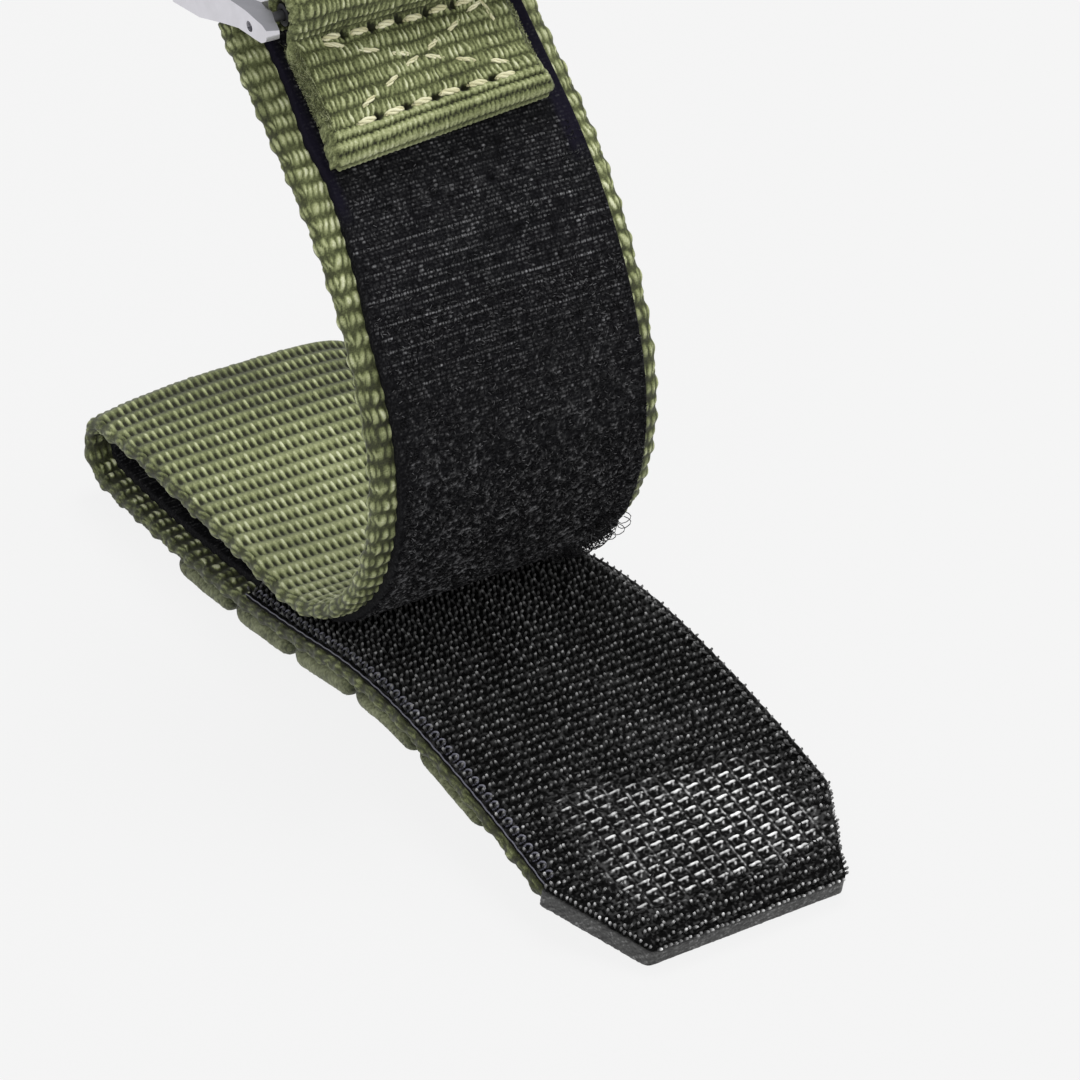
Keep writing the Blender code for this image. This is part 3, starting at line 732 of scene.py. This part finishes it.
def add_hooks():
    """Cut monofilament hooks, three to each cell of the weave: one upright, and a pair that spreads.

    One more row stands along the tip's rim and leans out over it.
    """
    column, row = np.meshgrid(np.arange(-9, 10), np.arange(-1, 58))
    # Place in the cell (x, s), lean (x, s) and height of each kind
    kinds = [(0.0, 0.0, 0.0, 0.0, 0.64), (0.66, 0.11, -0.3, 0.0, 0.66), (0.8, 0.09, 0.2, -0.05, 0.5)]
    x = np.concatenate([column.ravel() * TAPE_PITCH + kind[0] for kind in kinds])
    s = np.concatenate([row.ravel() * TAPE_RUN + 0.35 + kind[1] for kind in kinds])
    lean_x, lean_s, tall = (np.repeat([kind[k] for kind in kinds], column.size) for k in (2, 3, 4))
    inside = (np.abs(x) < tip_half(s) - 0.1) & (s < TAPE_END - 0.35) & (s > 0.08)
    inside &= rng.random(len(x)) > flat_area(x, s) * 1.15 - 0.02
    x, s, lean_x, lean_s, tall = (a[inside] for a in (x, s, lean_x, lean_s, tall))
    foot = np.full(len(x), TAPE_TOP - 0.02)
    front = np.arange(-8.3, 8.4, 0.46)
    corner = np.arange(0.4, 9.0, 0.4)
    rim_s = np.concatenate([front * 0 + 0.06, corner, corner])
    rim_x = np.concatenate([front, 0.06 - tip_half(corner), tip_half(corner) - 0.06])
    along_front = np.arange(len(rim_s)) < len(front)
    x, s = np.concatenate([x, rim_x]), np.concatenate([s, rim_s])
    foot = np.concatenate([foot, np.full(len(rim_s), 0.98)])
    lean_x = np.concatenate([lean_x, np.where(along_front, 0.0, 0.12 * np.sign(rim_x))])
    lean_s = np.concatenate([lean_s, np.where(along_front, -0.25, -0.1)])
    tall = np.concatenate([tall, np.full(len(rim_s), 0.5)])
    count = len(x)
    x = x + rng.normal(0, 0.03, count)
    s = s + rng.normal(0, 0.03, count)
    tall = tall * rng.uniform(0.85, 1.1, count)
    lean_x = lean_x + rng.normal(0, 0.04, count)
    lean_s = lean_s + rng.normal(0, 0.03, count) - 0.2 * (s < 1.0)
    reach = rng.uniform(0.02, 0.12, count)
    aim = rng.normal(0.3, 0.7, count)
    out, up, tilt, top, radii = np.array(HOOK_PROFILE)[:, None]
    out, up = out * reach[:, None], up * tall[:, None]
    way_x = x[:, None] + tilt * lean_x[:, None] + out * np.cos(aim)[:, None]
    way_s = s[:, None] + tilt * lean_s[:, None] + out * np.sin(aim)[:, None]
    paths = place(way_x, way_s, foot[:, None] + up)
    # Painted glints on the hooks, brighter at the tip and dimming towards the tape's far end as painted
    # shade under the bend
    shine = (0.56 + 0.2 * rng.random(count) ** 1.6) * np.interp(s, [0, 20, 57], [1.12, 1.0, 0.84])
    relief = 0.12 + top * shine[:, None]
    made = tubes_object("hook_filaments", paths, radii, HOOK, relief, sides=6)
    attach(made, "hook_leg")


def add_selvage():
    """Fine thread along each side of the tape, with the row of small loops that binds it."""
    s = np.arange(9.0, TAPE_END - 0.05, 0.25)
    for side, name, finish in ((-1, "tape_binding_left", SELVAGE), (1, "tape_binding_right", HOOK)):
        thread = place(side * (HALF_WIDTH - 0.16 + 0.03 * np.sin(4 * s)), s, TAPE_TOP)[None]
        made = tubes_object(name, thread, 0.055, finish, [[0.56]], sides=6)
        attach(made, "hook_leg")
        t = np.linspace(-0.5, pi + 0.9, 12)[None]
        at = np.arange(9.6, TAPE_END - 0.45, TAPE_RUN)[:, None]
        across = side * (HALF_WIDTH - 0.78 - 0.3 * np.sin(t) + 0 * at)
        paths = place(across, at + 0.33 * np.cos(t), 1.5 + 0.2 * np.sin(t))
        # The loops are lighter at their tops, a painted highlight
        relief = 0.4 + 0.26 * np.sin(t)
        made = tubes_object(name + "_loops", paths, 0.09, finish, relief, sides=6)
        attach(made, "hook_leg")


# Tip and grips

# Ends of the first grip and the pitch to the next, then the section: half width and half height, rounding,
# middle, and the n of its root and of the lowest point that it may reach
GRIP_ENDS = (18.15, 28.3)
GRIP_PITCH = 10.5
GRIP_HALF = (12.95, 0.9)
GRIP_ROUND = 0.78
GRIP_MIDDLE = -1.6
GRIP_ROOT = -0.9
GRIP_FLOOR = -2.62

# How much of the full depth each grip has
GRIP_DEPTHS = np.array([0.55, 0.76, 0.9, 0.9, 0.86])


def grip_section():
    """Rounded rectangle in (x, n) as core points with outward directions, run round once."""
    core_x, core_n = (half - GRIP_ROUND for half in GRIP_HALF)
    flat = np.arange(-core_x, core_x, 0.16)
    low = [(x, -core_n, 0, -1) for x in flat]
    high = [(-x, core_n, 0, 1) for x in flat]
    corners = {
        k: [(sx * core_x, sn * core_n, cos(a), sin(a)) for a in np.linspace(k * pi / 2, (k + 1) * pi / 2, 7)]
        for k, (sx, sn) in {-1: (1, -1), 0: (1, 1), 1: (-1, 1), 2: (-1, -1)}.items()
    }
    points = np.array(low + corners[-1] + corners[0] + high + corners[1] + corners[2])
    points[:, 1] += GRIP_MIDDLE
    return points.T[:, None, :]


def add_tip():
    """Fused end: dark and mottled, with rounded corners and a band of painted shade along its upper side,
    under the tape's edge.
    """
    s = np.concatenate([np.zeros(6), [0.03, 0.1, 0.22, 0.36], np.arange(0.5, 9.1, 0.12)])[:, None]
    share = np.concatenate([np.linspace(0, 1, 6), np.ones(len(s) - 6)])[:, None]
    radius = 0.5 * np.sqrt(unit(1 - ((0.5 - np.clip(s, 0, 0.5)) / 0.5) ** 2))
    flat, tall = np.linspace(-1, 1, 180, endpoint=False), np.linspace(-1, 1, 12, endpoint=False)
    core_x = np.concatenate([flat, tall * 0 + 1, -flat, tall * 0 - 1])[None]
    core_n = np.concatenate([flat * 0 - 1, tall, flat * 0 + 1, -tall])[None]
    inset = 0.5 - radius
    across = core_x * (tip_half(s) + 0.2 - inset)
    height = core_n * (0.84 - 0.5 * inset) * share
    rough = 0.5 * grain(across + 0.6 * s, height * 1.6 + 1.7 * s, 0.4, 2)
    rough = rough + 0.5 * grain(across * 1.1 + s, height * 1.4 + s, 0.14, 4)
    proud = 0.1 * (rough - 0.5)
    x = across + np.where(np.abs(core_x) > 0.999, np.sign(core_x) * proud, 0)
    n = height + np.where(np.abs(core_n) > 0.999, np.sign(core_n) * proud * share, 0)
    points = place(x, s - (s <= 0) * (0.1 * rough - 0.04), n)
    # The upper side is darkened as painted shade under the tape's edge
    relief = 0.3 + 1.0 * (rough - 0.45) - 0.2 * (n > 0.6)
    made = grid_object("fused_tip", points, SEAL, relief, closed=True)
    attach(made, "hook_leg")
    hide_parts("tip_seal")


def grip_depth(n, depth):
    """Squeezes n towards the root, and holds it above the floor."""
    return np.maximum(GRIP_ROOT + (n - GRIP_ROOT) * depth, GRIP_FLOOR)


def add_grips():
    """Five brushed pillows on the skin side of the hook leg, with short fibres on their sides."""
    for k in range(5):
        start, end = (at + GRIP_PITCH * k for at in GRIP_ENDS)
        s = np.linspace(start, end, 110)[:, None]
        near = np.clip(np.minimum(s - start, end - s), 0, 1.7) / 1.7
        radius = GRIP_ROUND * np.sqrt(1 - (1 - near) ** 2)
        core_x, core_n, out_x, out_n = grip_section()
        lump = grain(core_x + out_x * 2, s + out_n * 2, 1.4, k) - 0.5
        pile = grain(core_x + out_x, s + out_n, 0.24, k + 9)
        proud = radius + (0.1 * lump + 0.07 * (pile - 0.6)) * near
        x, n = core_x + out_x * proud, core_n + out_n * proud
        sink = unit(radius / GRIP_ROUND) ** 0.6
        n = grip_depth(n, GRIP_DEPTHS[k] * sink)
        # The relief darkens towards each grip's rounded ends as painted shade
        relief = 0.05 + 0.42 * pile * (0.4 + 0.6 * near) + 0.18 * lump + 0.36 * near ** 0.8
        made = grid_object(f"grip_pile_{k + 1}", place(x, s, n), GRIP, relief, closed=True)
        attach(made, "hook_leg")
        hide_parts(f"grip_rib_{k + 1}")
    add_grip_fibres()


def add_grip_fibres():
    """Short fibres that stand out of the grips' two sides."""
    count = 5000
    k = rng.integers(0, 5, count)
    s = GRIP_ENDS[0] + GRIP_PITCH * k + rng.uniform(1.2, 8.9, count)
    side = np.where(rng.random(count) > 0.45, -1.0, 1.0)
    angle = rng.uniform(-1.3, 1.1, count)
    length = rng.uniform(0.02, 0.09, count)
    t = np.linspace(0, 1, 3)[None]
    far = 0.7 + length[:, None] * t
    droop = rng.normal(0, 0.1, count)[:, None] * t
    x = side[:, None] * (GRIP_HALF[0] - GRIP_ROUND + far * np.cos(angle)[:, None])
    n = GRIP_MIDDLE + np.sin(angle)[:, None] * far * 1.1
    n = grip_depth(n, GRIP_DEPTHS[k][:, None])
    paths = place(x, s[:, None] + droop, n)
    relief = rng.uniform(0.35, 0.8, count)[:, None]
    made = tubes_object("grip_fibres", paths, 0.03, GRIP, relief, sides=3)
    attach(made, "hook_leg")


# Tab and its seam

TAB_START = PATH_END - 14.2
TAB_TOP = 3.42
TAB_BASE = 1.62
TAB_MIDDLE = -0.2
TAB_HALF = 9.4
TAB_FLARE = 0.7

# Pitch of the tab's ribs and of the floats on them, then the hem's length and its cords
TAB_RIB = 1.28
TAB_POINT = 0.45
HEM = 3.5
HEM_RIBS = 4

# The sewn box: its two long rows and half its width, then length and gap of the stitches
SEAM_LOW = TAB_START + 2.2
SEAM_HIGH = TAB_START + 9.1
SEAM_HALF = 7.1
STITCH = 1.75
STITCH_GAP = 0.75
STITCH_ARCH = 0.2
STITCH_TWIST = 4.6


def tab_place(x, s, n):
    """The tab lies a little askew: its hem runs on the slant, and its fold at the bar does not."""
    skew = 0.063 * x * unit((PATH_END - 4.4 - s) / 9.7)
    return place(x + TAB_MIDDLE, s + skew, n)


def tab_runs():
    """Runs of the box with a cross: ends as (x, s), and each run's share of the full thread."""
    low, high, half = SEAM_LOW, SEAM_HIGH, SEAM_HALF
    return [
        ((-half - 0.2, low), (half, low), 1.2), ((-half + 0.1, high), (half - 0.6, high), 1.2),
        ((-half, high - 0.3), (half, low + 0.8), 0.85), ((-half + 0.8, low + 1.0), (half, high - 0.2), 0.85),
        ((half + 0.3, high - 2.6), (half, high), 0.7),
    ]


def needle_points():
    """Where the needle went down between the stitches of the seam's two long rows."""
    points = []
    for first, last, _share in tab_runs()[:2]:
        first, last = np.array(first), np.array(last)
        whole = np.linalg.norm(last - first)
        number = max(1, round((whole + STITCH_GAP) / (STITCH + STITCH_GAP)))
        pace = (whole + STITCH_GAP) / number
        points += [first + (last - first) / whole * (k * pace - STITCH_GAP / 2) for k in range(1, number)]
    return points


def tab_height(x, walked, s):
    """Ribs with pointed floats on the flat of the tab, four close cords on its hem, and needle holes."""
    hem = walked < HEM
    row = np.where(hem, walked / (HEM / HEM_RIBS) - 0.5, (walked - HEM) / TAB_RIB - 0.5)
    row = row + 0.2 * (grain(x, walked, 2.6, 12) - 0.5)
    which = np.round(row)
    v = row - which
    across = x / TAB_POINT + 0.5 * np.mod(which, 2) + 1.1 * (grain(x, walked, 1.1, 4) - 0.5)
    column = np.round(across)
    u = across - column
    size = 0.45 + 0.75 * scatter(which, column)
    rib = np.sqrt(cut(1 - (v / 0.53) ** 2))
    half = np.clip(0.34 - 0.42 * (v + 0.1), 0.06, 0.48)
    point = cut(1 - (np.abs(u) / half) ** 1.6 - (np.abs(v + 0.04) / 0.48) ** 2.6) ** 0.6
    fine = grain(x * 2.6, walked, 0.24, 6)
    eye = cut(1 - ((np.abs(u) - 0.5) / 0.22) ** 2 - ((np.abs(v) - 0.45) / 0.3) ** 2)
    flat = 0.13 * rib + 0.16 * point * size
    height = np.where(hem, 0.32 * rib + 0.05 * point - 0.1 * eye, flat) + 0.05 * fine
    cord = -0.2 + 0.66 * rib + 0.2 * point * size + 0.2 * fine - 0.34 * eye
    relief = np.where(hem, cord, -0.02 + 0.2 * rib + 0.6 * point * size + 0.26 * fine)
    for low in (SEAM_LOW, SEAM_HIGH):
        height = height - 0.12 * np.exp(-(((s - low) / 0.5) ** 2)) * (np.abs(x) < SEAM_HALF)
    # The needle holes are sunk and darkened with painted shade
    for at in needle_points():
        near = np.exp(-(((x - at[0]) / 0.3) ** 2 + ((s - at[1]) / 0.26) ** 2))
        height, relief = height - 0.5 * near, relief - 1.1 * near
    return height, relief


def tab_rails():
    """Outer and inner side lines of the tab in (s, n): end, flat, rise, and round the bar to the strap."""
    bar_s, bar_n, bore = PATH_END - 2.9, 5.0, 1.08
    end_turn, rise_turn = np.linspace(-0.75, pi / 2, 12), np.linspace(0.1, 1.25, 9)
    outer = [(TAB_START + 0.5 - 0.5 * cos(a), TAB_TOP - 0.95 + 0.95 * sin(a)) for a in end_turn]
    outer += [(s, TAB_TOP) for s in np.arange(TAB_START + 0.6, bar_s - 2.3, 0.09)]
    outer += [(bar_s - 2.3 + 0.62 * sin(a), TAB_TOP + 0.62 * (1 - cos(a))) for a in rise_turn]
    inner = [(TAB_START + 0.12 + (p[0] - TAB_START) * 0.985, TAB_BASE) for p in outer[:-9]]
    inner += [(bar_s - 2.2 + 0.9 * t, TAB_BASE + 2.4 * t) for t in np.linspace(0.1, 0.9, 9)]
    for angle in np.linspace(pi + 0.1, -pi / 2 - 0.1, 105):
        wide = 1.78 if cos(angle) < 0 else 2.3
        swell = unit((angle - 2.9) / 0.35)
        outer.append((bar_s + wide * cos(angle), bar_n + 2.35 * sin(angle) - 0.25 * swell))
        inner.append((bar_s + bore * cos(angle), bar_n + bore * sin(angle)))
    return np.array(outer), np.array(inner)


def add_tab():
    """The tab as one closed band: its section runs round from the flat or outer side over both selvages."""
    outer, inner = tab_rails()
    ahead = np.gradient(outer, axis=0)
    ahead /= np.linalg.norm(ahead, axis=1, keepdims=True)
    normal = np.stack([-ahead[:, 1], ahead[:, 0]], 1)
    walked = np.concatenate([[0], np.cumsum(np.linalg.norm(np.diff(outer, axis=0), axis=1))])[:, None]
    flat = np.arange(-TAB_HALF + 0.55, TAB_HALF - 0.5, 0.095)
    turns = np.linspace(0, pi, 15)
    bulge, turned = 0.45 * np.sin(turns), 0.5 * np.cos(turns)
    x = np.concatenate([flat, TAB_HALF - 0.45 + bulge, -flat[::12], -TAB_HALF + 0.45 - bulge])[None]
    depth = np.concatenate([flat * 0, 0.5 - turned, flat[::12] * 0 + 1, 0.5 + turned])[None]
    height, relief = tab_height(x, walked, outer[:, :1])
    rib = walked / TAB_RIB
    bead = cut(1 - np.abs((rib - np.round(rib)) / 0.5) ** 2) ** 0.6
    fray = grain(walked * 2, depth * 4 + np.sign(x), 0.3, 8)
    at_side = unit(1 - np.abs(depth - 0.5) * 2) ** 0.4
    height = np.where(depth == 0, height - 0.05, 0.0)
    flare = np.interp(walked, [0, 1.0, 2.0, 3.4, 5.5], [0.9, 1.0, 1.0, 0.6, 0])
    spread = 1 + TAB_FLARE / TAB_HALF * flare + 0.065 * unit((walked - 9.5) / 2.5)
    corner = 1.1 * (1 - np.sqrt(unit(1 - unit(1 - walked / 1.5) ** 2)))
    x_out = (x + np.sign(x) * at_side * (0.16 * bead + 0.2 * fray - 0.12) * (depth > 0)) * spread
    x_out = np.sign(x_out) * np.minimum(np.abs(x_out), (TAB_HALF + 0.25) * spread - corner)
    relief = np.where(depth > 0, 0.06 + 0.26 * bead * at_side + 0.45 * fray, relief)
    # The tab's inner face, round the bar and against the strap, is painted dark as shade
    relief = np.where(depth > 0.95, 0.1, relief)
    outer_s = outer[:, :1] + normal[:, :1] * height
    outer_n = outer[:, 1:] + normal[:, 1:] * height
    s = outer_s * (1 - depth) + inner[:, :1] * depth
    n = outer_n * (1 - depth) + inner[:, 1:] * depth
    made = grid_object("tab_cloth", tab_place(x_out, s, n), TAB, relief, closed=True)
    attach(made, "anchor_leg")
    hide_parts("anchor_tab")
    add_tab_fray()
    add_tab_seam()


def add_tab_fray():
    """Short broken fibres along the tab's two sides."""
    count = 2200
    s = rng.uniform(TAB_START + 2.2, PATH_END - 4.6, count)
    side = np.where(rng.random(count) > 0.35, -1.0, 1.0)
    angle = rng.uniform(-1.2, 1.5, count)
    t = np.linspace(0, 1, 4)[None]
    length = rng.uniform(0.1, 0.42, count)[:, None]
    out = 0.3 + length * t
    x = side[:, None] * (TAB_HALF - 0.3 + out * np.cos(angle)[:, None])
    n = 2.55 + 0.9 * np.sin(angle)[:, None] + out * 0.3 * np.sin(angle)[:, None]
    paths = tab_place(x, s[:, None] + rng.normal(0, 0.3, count)[:, None] * t, n)
    relief = rng.uniform(0.15, 0.85, count)[:, None]
    made = tubes_object("tab_fray", paths, 0.024, TAB, relief, sides=3)
    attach(made, "anchor_leg")


def stitches(name, runs, finish, surface, ply, length, gap, lay=place):
    """Rows of stitches, each of three twisted plies, in runs of ((x, s), (x, s), thickness)."""
    paths, reliefs, radii = [], [], []
    t = np.linspace(0, 1, 17)
    for first, last, share in runs:
        first, last = np.array(first, float), np.array(last, float)
        whole = np.linalg.norm(last - first)
        number = max(1, round((whole + gap) / (length + gap)))
        pace = (whole + gap) / number
        aim = (last - first) / whole
        for k in range(number):
            wander = rng.normal(0, 0.07, 2)
            run = k * pace + (pace - gap) * t
            hump = unit(np.sin(pi * t)) ** 0.45
            for strand in range(3):
                angle = 2 * pi * strand / 3 + t * STITCH_TWIST + k
                side = np.cos(angle) * ply * share * 1.2 * hump + wander[0] * t + wander[1] * (1 - t)
                lift = np.sin(angle) * ply * share * 0.7 * hump
                x = first[0] + aim[0] * run - aim[1] * side
                s = first[1] + aim[1] * run + aim[0] * side
                rise = STITCH_ARCH * (0.4 + 0.6 * share) * hump
                paths.append(lay(x, s, surface - 0.24 + rise + lift))
                # Each stitch is lighter at its crown and darker towards its ends, as painted highlight and
                # painted shade
                reliefs.append(0.2 + 0.4 * hump + 0.4 * scatter(k, strand, whole))
                radii.append(ply * share * (0.5 + 0.5 * hump))
    return tubes_object(name, np.array(paths), np.array(radii), finish, np.array(reliefs), sides=6)


def add_tab_seam():
    made = stitches(
        "tab_stitches", tab_runs(), PALE_THREAD, TAB_TOP + 0.15, 0.115, STITCH, STITCH_GAP, lay=tab_place
    )
    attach(made, "anchor_leg")
    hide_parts("tab_seam")


def add_hook_seam():
    """Dark box with a cross, from corner to corner."""
    a, b, c, d = ((x, s) for s in (3.5, 16.5) for x in (-8.5, 8.5))
    runs = [(*ends, 1) for ends in ((a, b), (c, d), (a, d), (c, b), (a, c), (b, d))]
    made = stitches("hook_stitches", runs, DARK_THREAD, 1.42, ply=0.06, length=1.3, gap=0.5)
    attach(made, "hook_leg")
    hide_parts("hook_seam")


# Adapter and spring bar

# Profiles along the adapter, from its bar towards its far end: the solid's upper and lower side, those that
# they become, the hollow between the ears, and the share of the ears' thickness that is left
ADAPTER_TILT = radians(-5)
CAD_TOP = ([-2.8, -1.5, 0.0, 5.2, 8.6], [1.5, 1.5, 1.3, 1.3, 2.4])
CAD_LOW = ([-2.8, -1.5, -0.9, 5.2, 8.6], [0.65, 0.0, -0.9, -0.9, -1.9])
NOSE_TOP = ([-2.9, -2.2, -1.2, 0.3, 2.9, 5.2, 8.6], [0.15, 0.5, 0.66, 0.95, 1.1, 1.4, 2.4])
NOSE_LOW = (
    [-2.9, -2.6, -1.9, -1.0, 0.8, 1.9, 4.8, 8.6], [-0.1, -0.7, -1.05, -1.05, -0.95, -0.9, -1.3, -1.95]
)
NOSE_DIP = ([-2.8, -1.2, 0.3, 1.6, 3.4, 6.0], [0.2, 0.3, 0.45, 1.0, 0.75, 0.0])
NOSE_CUTS = [-2.6, -2.2, -1.8, -1.4, -0.9, 0.8, 1.9, 2.9, 4.0, 5.2, 6.9, 8.6]
EAR_SHARES = ([-2.9, -1.5, 0.5, 2.5], [0.42, 0.55, 0.85, 1.0])
EAR_INNER = 10.4
# How far along the ears their upper faces take the darker steel as painted shade
PAINTED_SHADE_END = 8.0


def repaint(node, finish):
    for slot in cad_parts[node].material_slots:
        slot.material = finish


def add_metal():
    # The spring bar's tube and pins take the steel darkened as painted shade
    for node in ("spring_bar_tube", "spring_bar_pin_left", "spring_bar_pin_right"):
        repaint(node, BAR_STEEL_PAINTED_SHADE)
    repaint("bar_spring", SPRING)
    add_adapter()


def add_adapter():
    """The adapter over the CAD solid's own shape, its edges eased, with a rounded nose and dished ears,
    whose upper faces take a darker copy of the steel as painted shade.
    """
    work = bmesh.new()
    work.from_mesh(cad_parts["lug_adapter"].data)
    bmesh.ops.remove_doubles(work, verts=work.verts, dist=1e-6)
    bmesh.ops.dissolve_limit(work, angle_limit=radians(2), verts=work.verts, edges=work.edges)
    sharp = [edge for edge in work.edges if edge.is_manifold and edge.calc_face_angle(0) > radians(14)]
    bmesh.ops.bevel(
        work, geom=sharp, offset=0.28 * MM, segments=4, profile=0.6, affect="EDGES", clamp_overlap=True
    )
    bmesh.ops.triangulate(work, faces=[face for face in work.faces if len(face.verts) > 4])
    ahead = Vector((0, cos(ADAPTER_TILT), sin(ADAPTER_TILT)))
    up = Vector((0, -sin(ADAPTER_TILT), cos(ADAPTER_TILT)))
    centre = Vector((0, BAR[0] * MM, BAR[1] * MM))
    for a in NOSE_CUTS:
        geom = list(work.verts) + list(work.edges) + list(work.faces)
        bmesh.ops.bisect_plane(work, geom=geom, plane_co=centre + ahead * (a * MM), plane_no=ahead)
    for vert in work.verts:
        a, b = (vert.co - centre).dot(ahead) / MM, (vert.co - centre).dot(up) / MM
        across = unit((abs(vert.co.x) / MM - EAR_INNER) / (HALF_WIDTH - EAR_INNER))
        top, low = np.interp(a, *CAD_TOP), np.interp(a, *CAD_LOW)
        share = (b - low) / (top - low)
        new_top = np.interp(a, *NOSE_TOP) - np.interp(a, *NOSE_DIP) * (1 - across)
        new_low = np.interp(a, *NOSE_LOW)
        vert.co += up * float(new_low + share * (new_top - new_low) - b) * MM
        if abs(vert.co.x) > (EAR_INNER - 0.3) * MM:
            thick = (HALF_WIDTH * MM - abs(vert.co.x)) * float(np.interp(a, *EAR_SHARES))
            vert.co.x = np.sign(vert.co.x) * (HALF_WIDTH * MM - thick)
    work.normal_update()
    for face in work.faces:
        face.smooth = True
        middle = face.calc_center_median()
        # Upward faces on the ears get the darker steel as painted shade
        on_ear = abs(middle.x) > EAR_INNER * MM - 0.0001 and (middle - centre).dot(ahead) < PAINTED_SHADE_END * MM
        face.material_index = int(on_ear and face.normal.dot(up) > 0.5)
    data = bpy.data.meshes.new("adapter_metal")
    work.to_mesh(data)
    work.free()
    data.materials.append(STEEL)
    data.materials.append(STEEL_IN_PAINTED_SHADE)
    made = add_object("adapter_metal", data)
    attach(made, "adapter")
    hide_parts("lug_adapter")


# Room and camera

BACKDROP = (0.905, 0.905, 0.905, 1.0)
FLOOR_REACH = 3000

# Half the photograph's frame and the focal length, in its pixels
HALF_FRAME = 540
FOCAL_LENGTH = 4400


def background_rays(tree):
    """1 for the rays that see the background as it is, and 0 for the light that it gives."""
    rays = add_node(tree, "LightPath")
    seen = rays.outputs["Is Camera Ray"]
    for kind in ("Is Glossy Ray", "Is Transmission Ray"):
        seen = compute(tree, "MAXIMUM", seen, rays.outputs[kind])
    return seen


def add_light(name, place_at, aim, power, size):
    """Round lamp that lights the strap but doesn't show in its reflections."""
    lamp = bpy.data.lights.new(name, "AREA")
    lamp.energy = power
    lamp.shape = "DISK"
    lamp.size = size
    made = add_object(name, lamp)
    made.location = place_at
    made.rotation_euler = (Vector(aim) - Vector(place_at)).to_track_quat("-Z", "Y").to_euler()
    made.visible_glossy = False


def add_room():
    world = bpy.data.worlds.new("studio")
    bpy.context.scene.world = world
    world.use_nodes = True
    tree = world.node_tree
    light = tree.nodes["Background"]
    fill(light, {"Color": (1, 1, 1, 1), "Strength": 0.4})
    seen = add_node(tree, "Background", {"Color": BACKDROP, "Strength": 1.0})
    share = background_rays(tree)
    mix = add_node(tree, "MixShader", {0: share, 1: light.outputs[0], 2: seen.outputs[0]})
    tree.links.new(mix.outputs[0], tree.nodes["World Output"].inputs["Surface"])

    finish, tree, shader = nodes_of("pale_floor")
    fill(shader, {"Base Color": (0.8, 0.8, 0.8, 1), "Roughness": 0.9})
    glow = add_node(tree, "Emission", {"Color": BACKDROP, "Strength": 1.0})
    share = compute(tree, "MULTIPLY", background_rays(tree), 0.95)
    mix = add_node(tree, "MixShader", {0: share, 1: shader.outputs[0], 2: glow.outputs[0]})
    tree.links.new(mix.outputs[0], tree.nodes["Material Output"].inputs["Surface"])
    corners = [(x * FLOOR_REACH, y * FLOOR_REACH, 0) for x, y in ((-1, -1), (1, -1), (1, 1), (-1, 1))]
    floor = mesh_object("floor", corners, [(0, 1, 2, 3)], finish, smooth=False)

    add_light("key", (0.15, 0.1, 0.6), (0, 0, 0.02), 2.667, 0.35)
    add_light("front", (-0.35, -0.45, 0.35), (0, 0, 0.03), 1.651, 0.4)
    add_light("side", (0.5, -0.2, 0.3), (0, 0, 0.02), 1.016, 0.3)


def add_camera():
    lens = bpy.data.cameras.new("camera")
    lens.sensor_fit = "HORIZONTAL"
    lens.angle = 2 * atan(HALF_FRAME / FOCAL_LENGTH)
    lens.clip_start = 0.01
    made = add_object("camera", lens)
    made.location = (-0.15088, -0.26626, 0.19844)
    made.rotation_euler = Euler((radians(58.706), radians(0.835), radians(-31.328)), "XYZ")
    bpy.context.scene.camera = made


bpy.context.scene.view_settings.view_transform = "Standard"
add_camera()
add_room()
add_webbing()
add_lining()
add_hook_tape()
add_hook_seam()
add_tip()
add_grips()
add_tab()
add_metal()
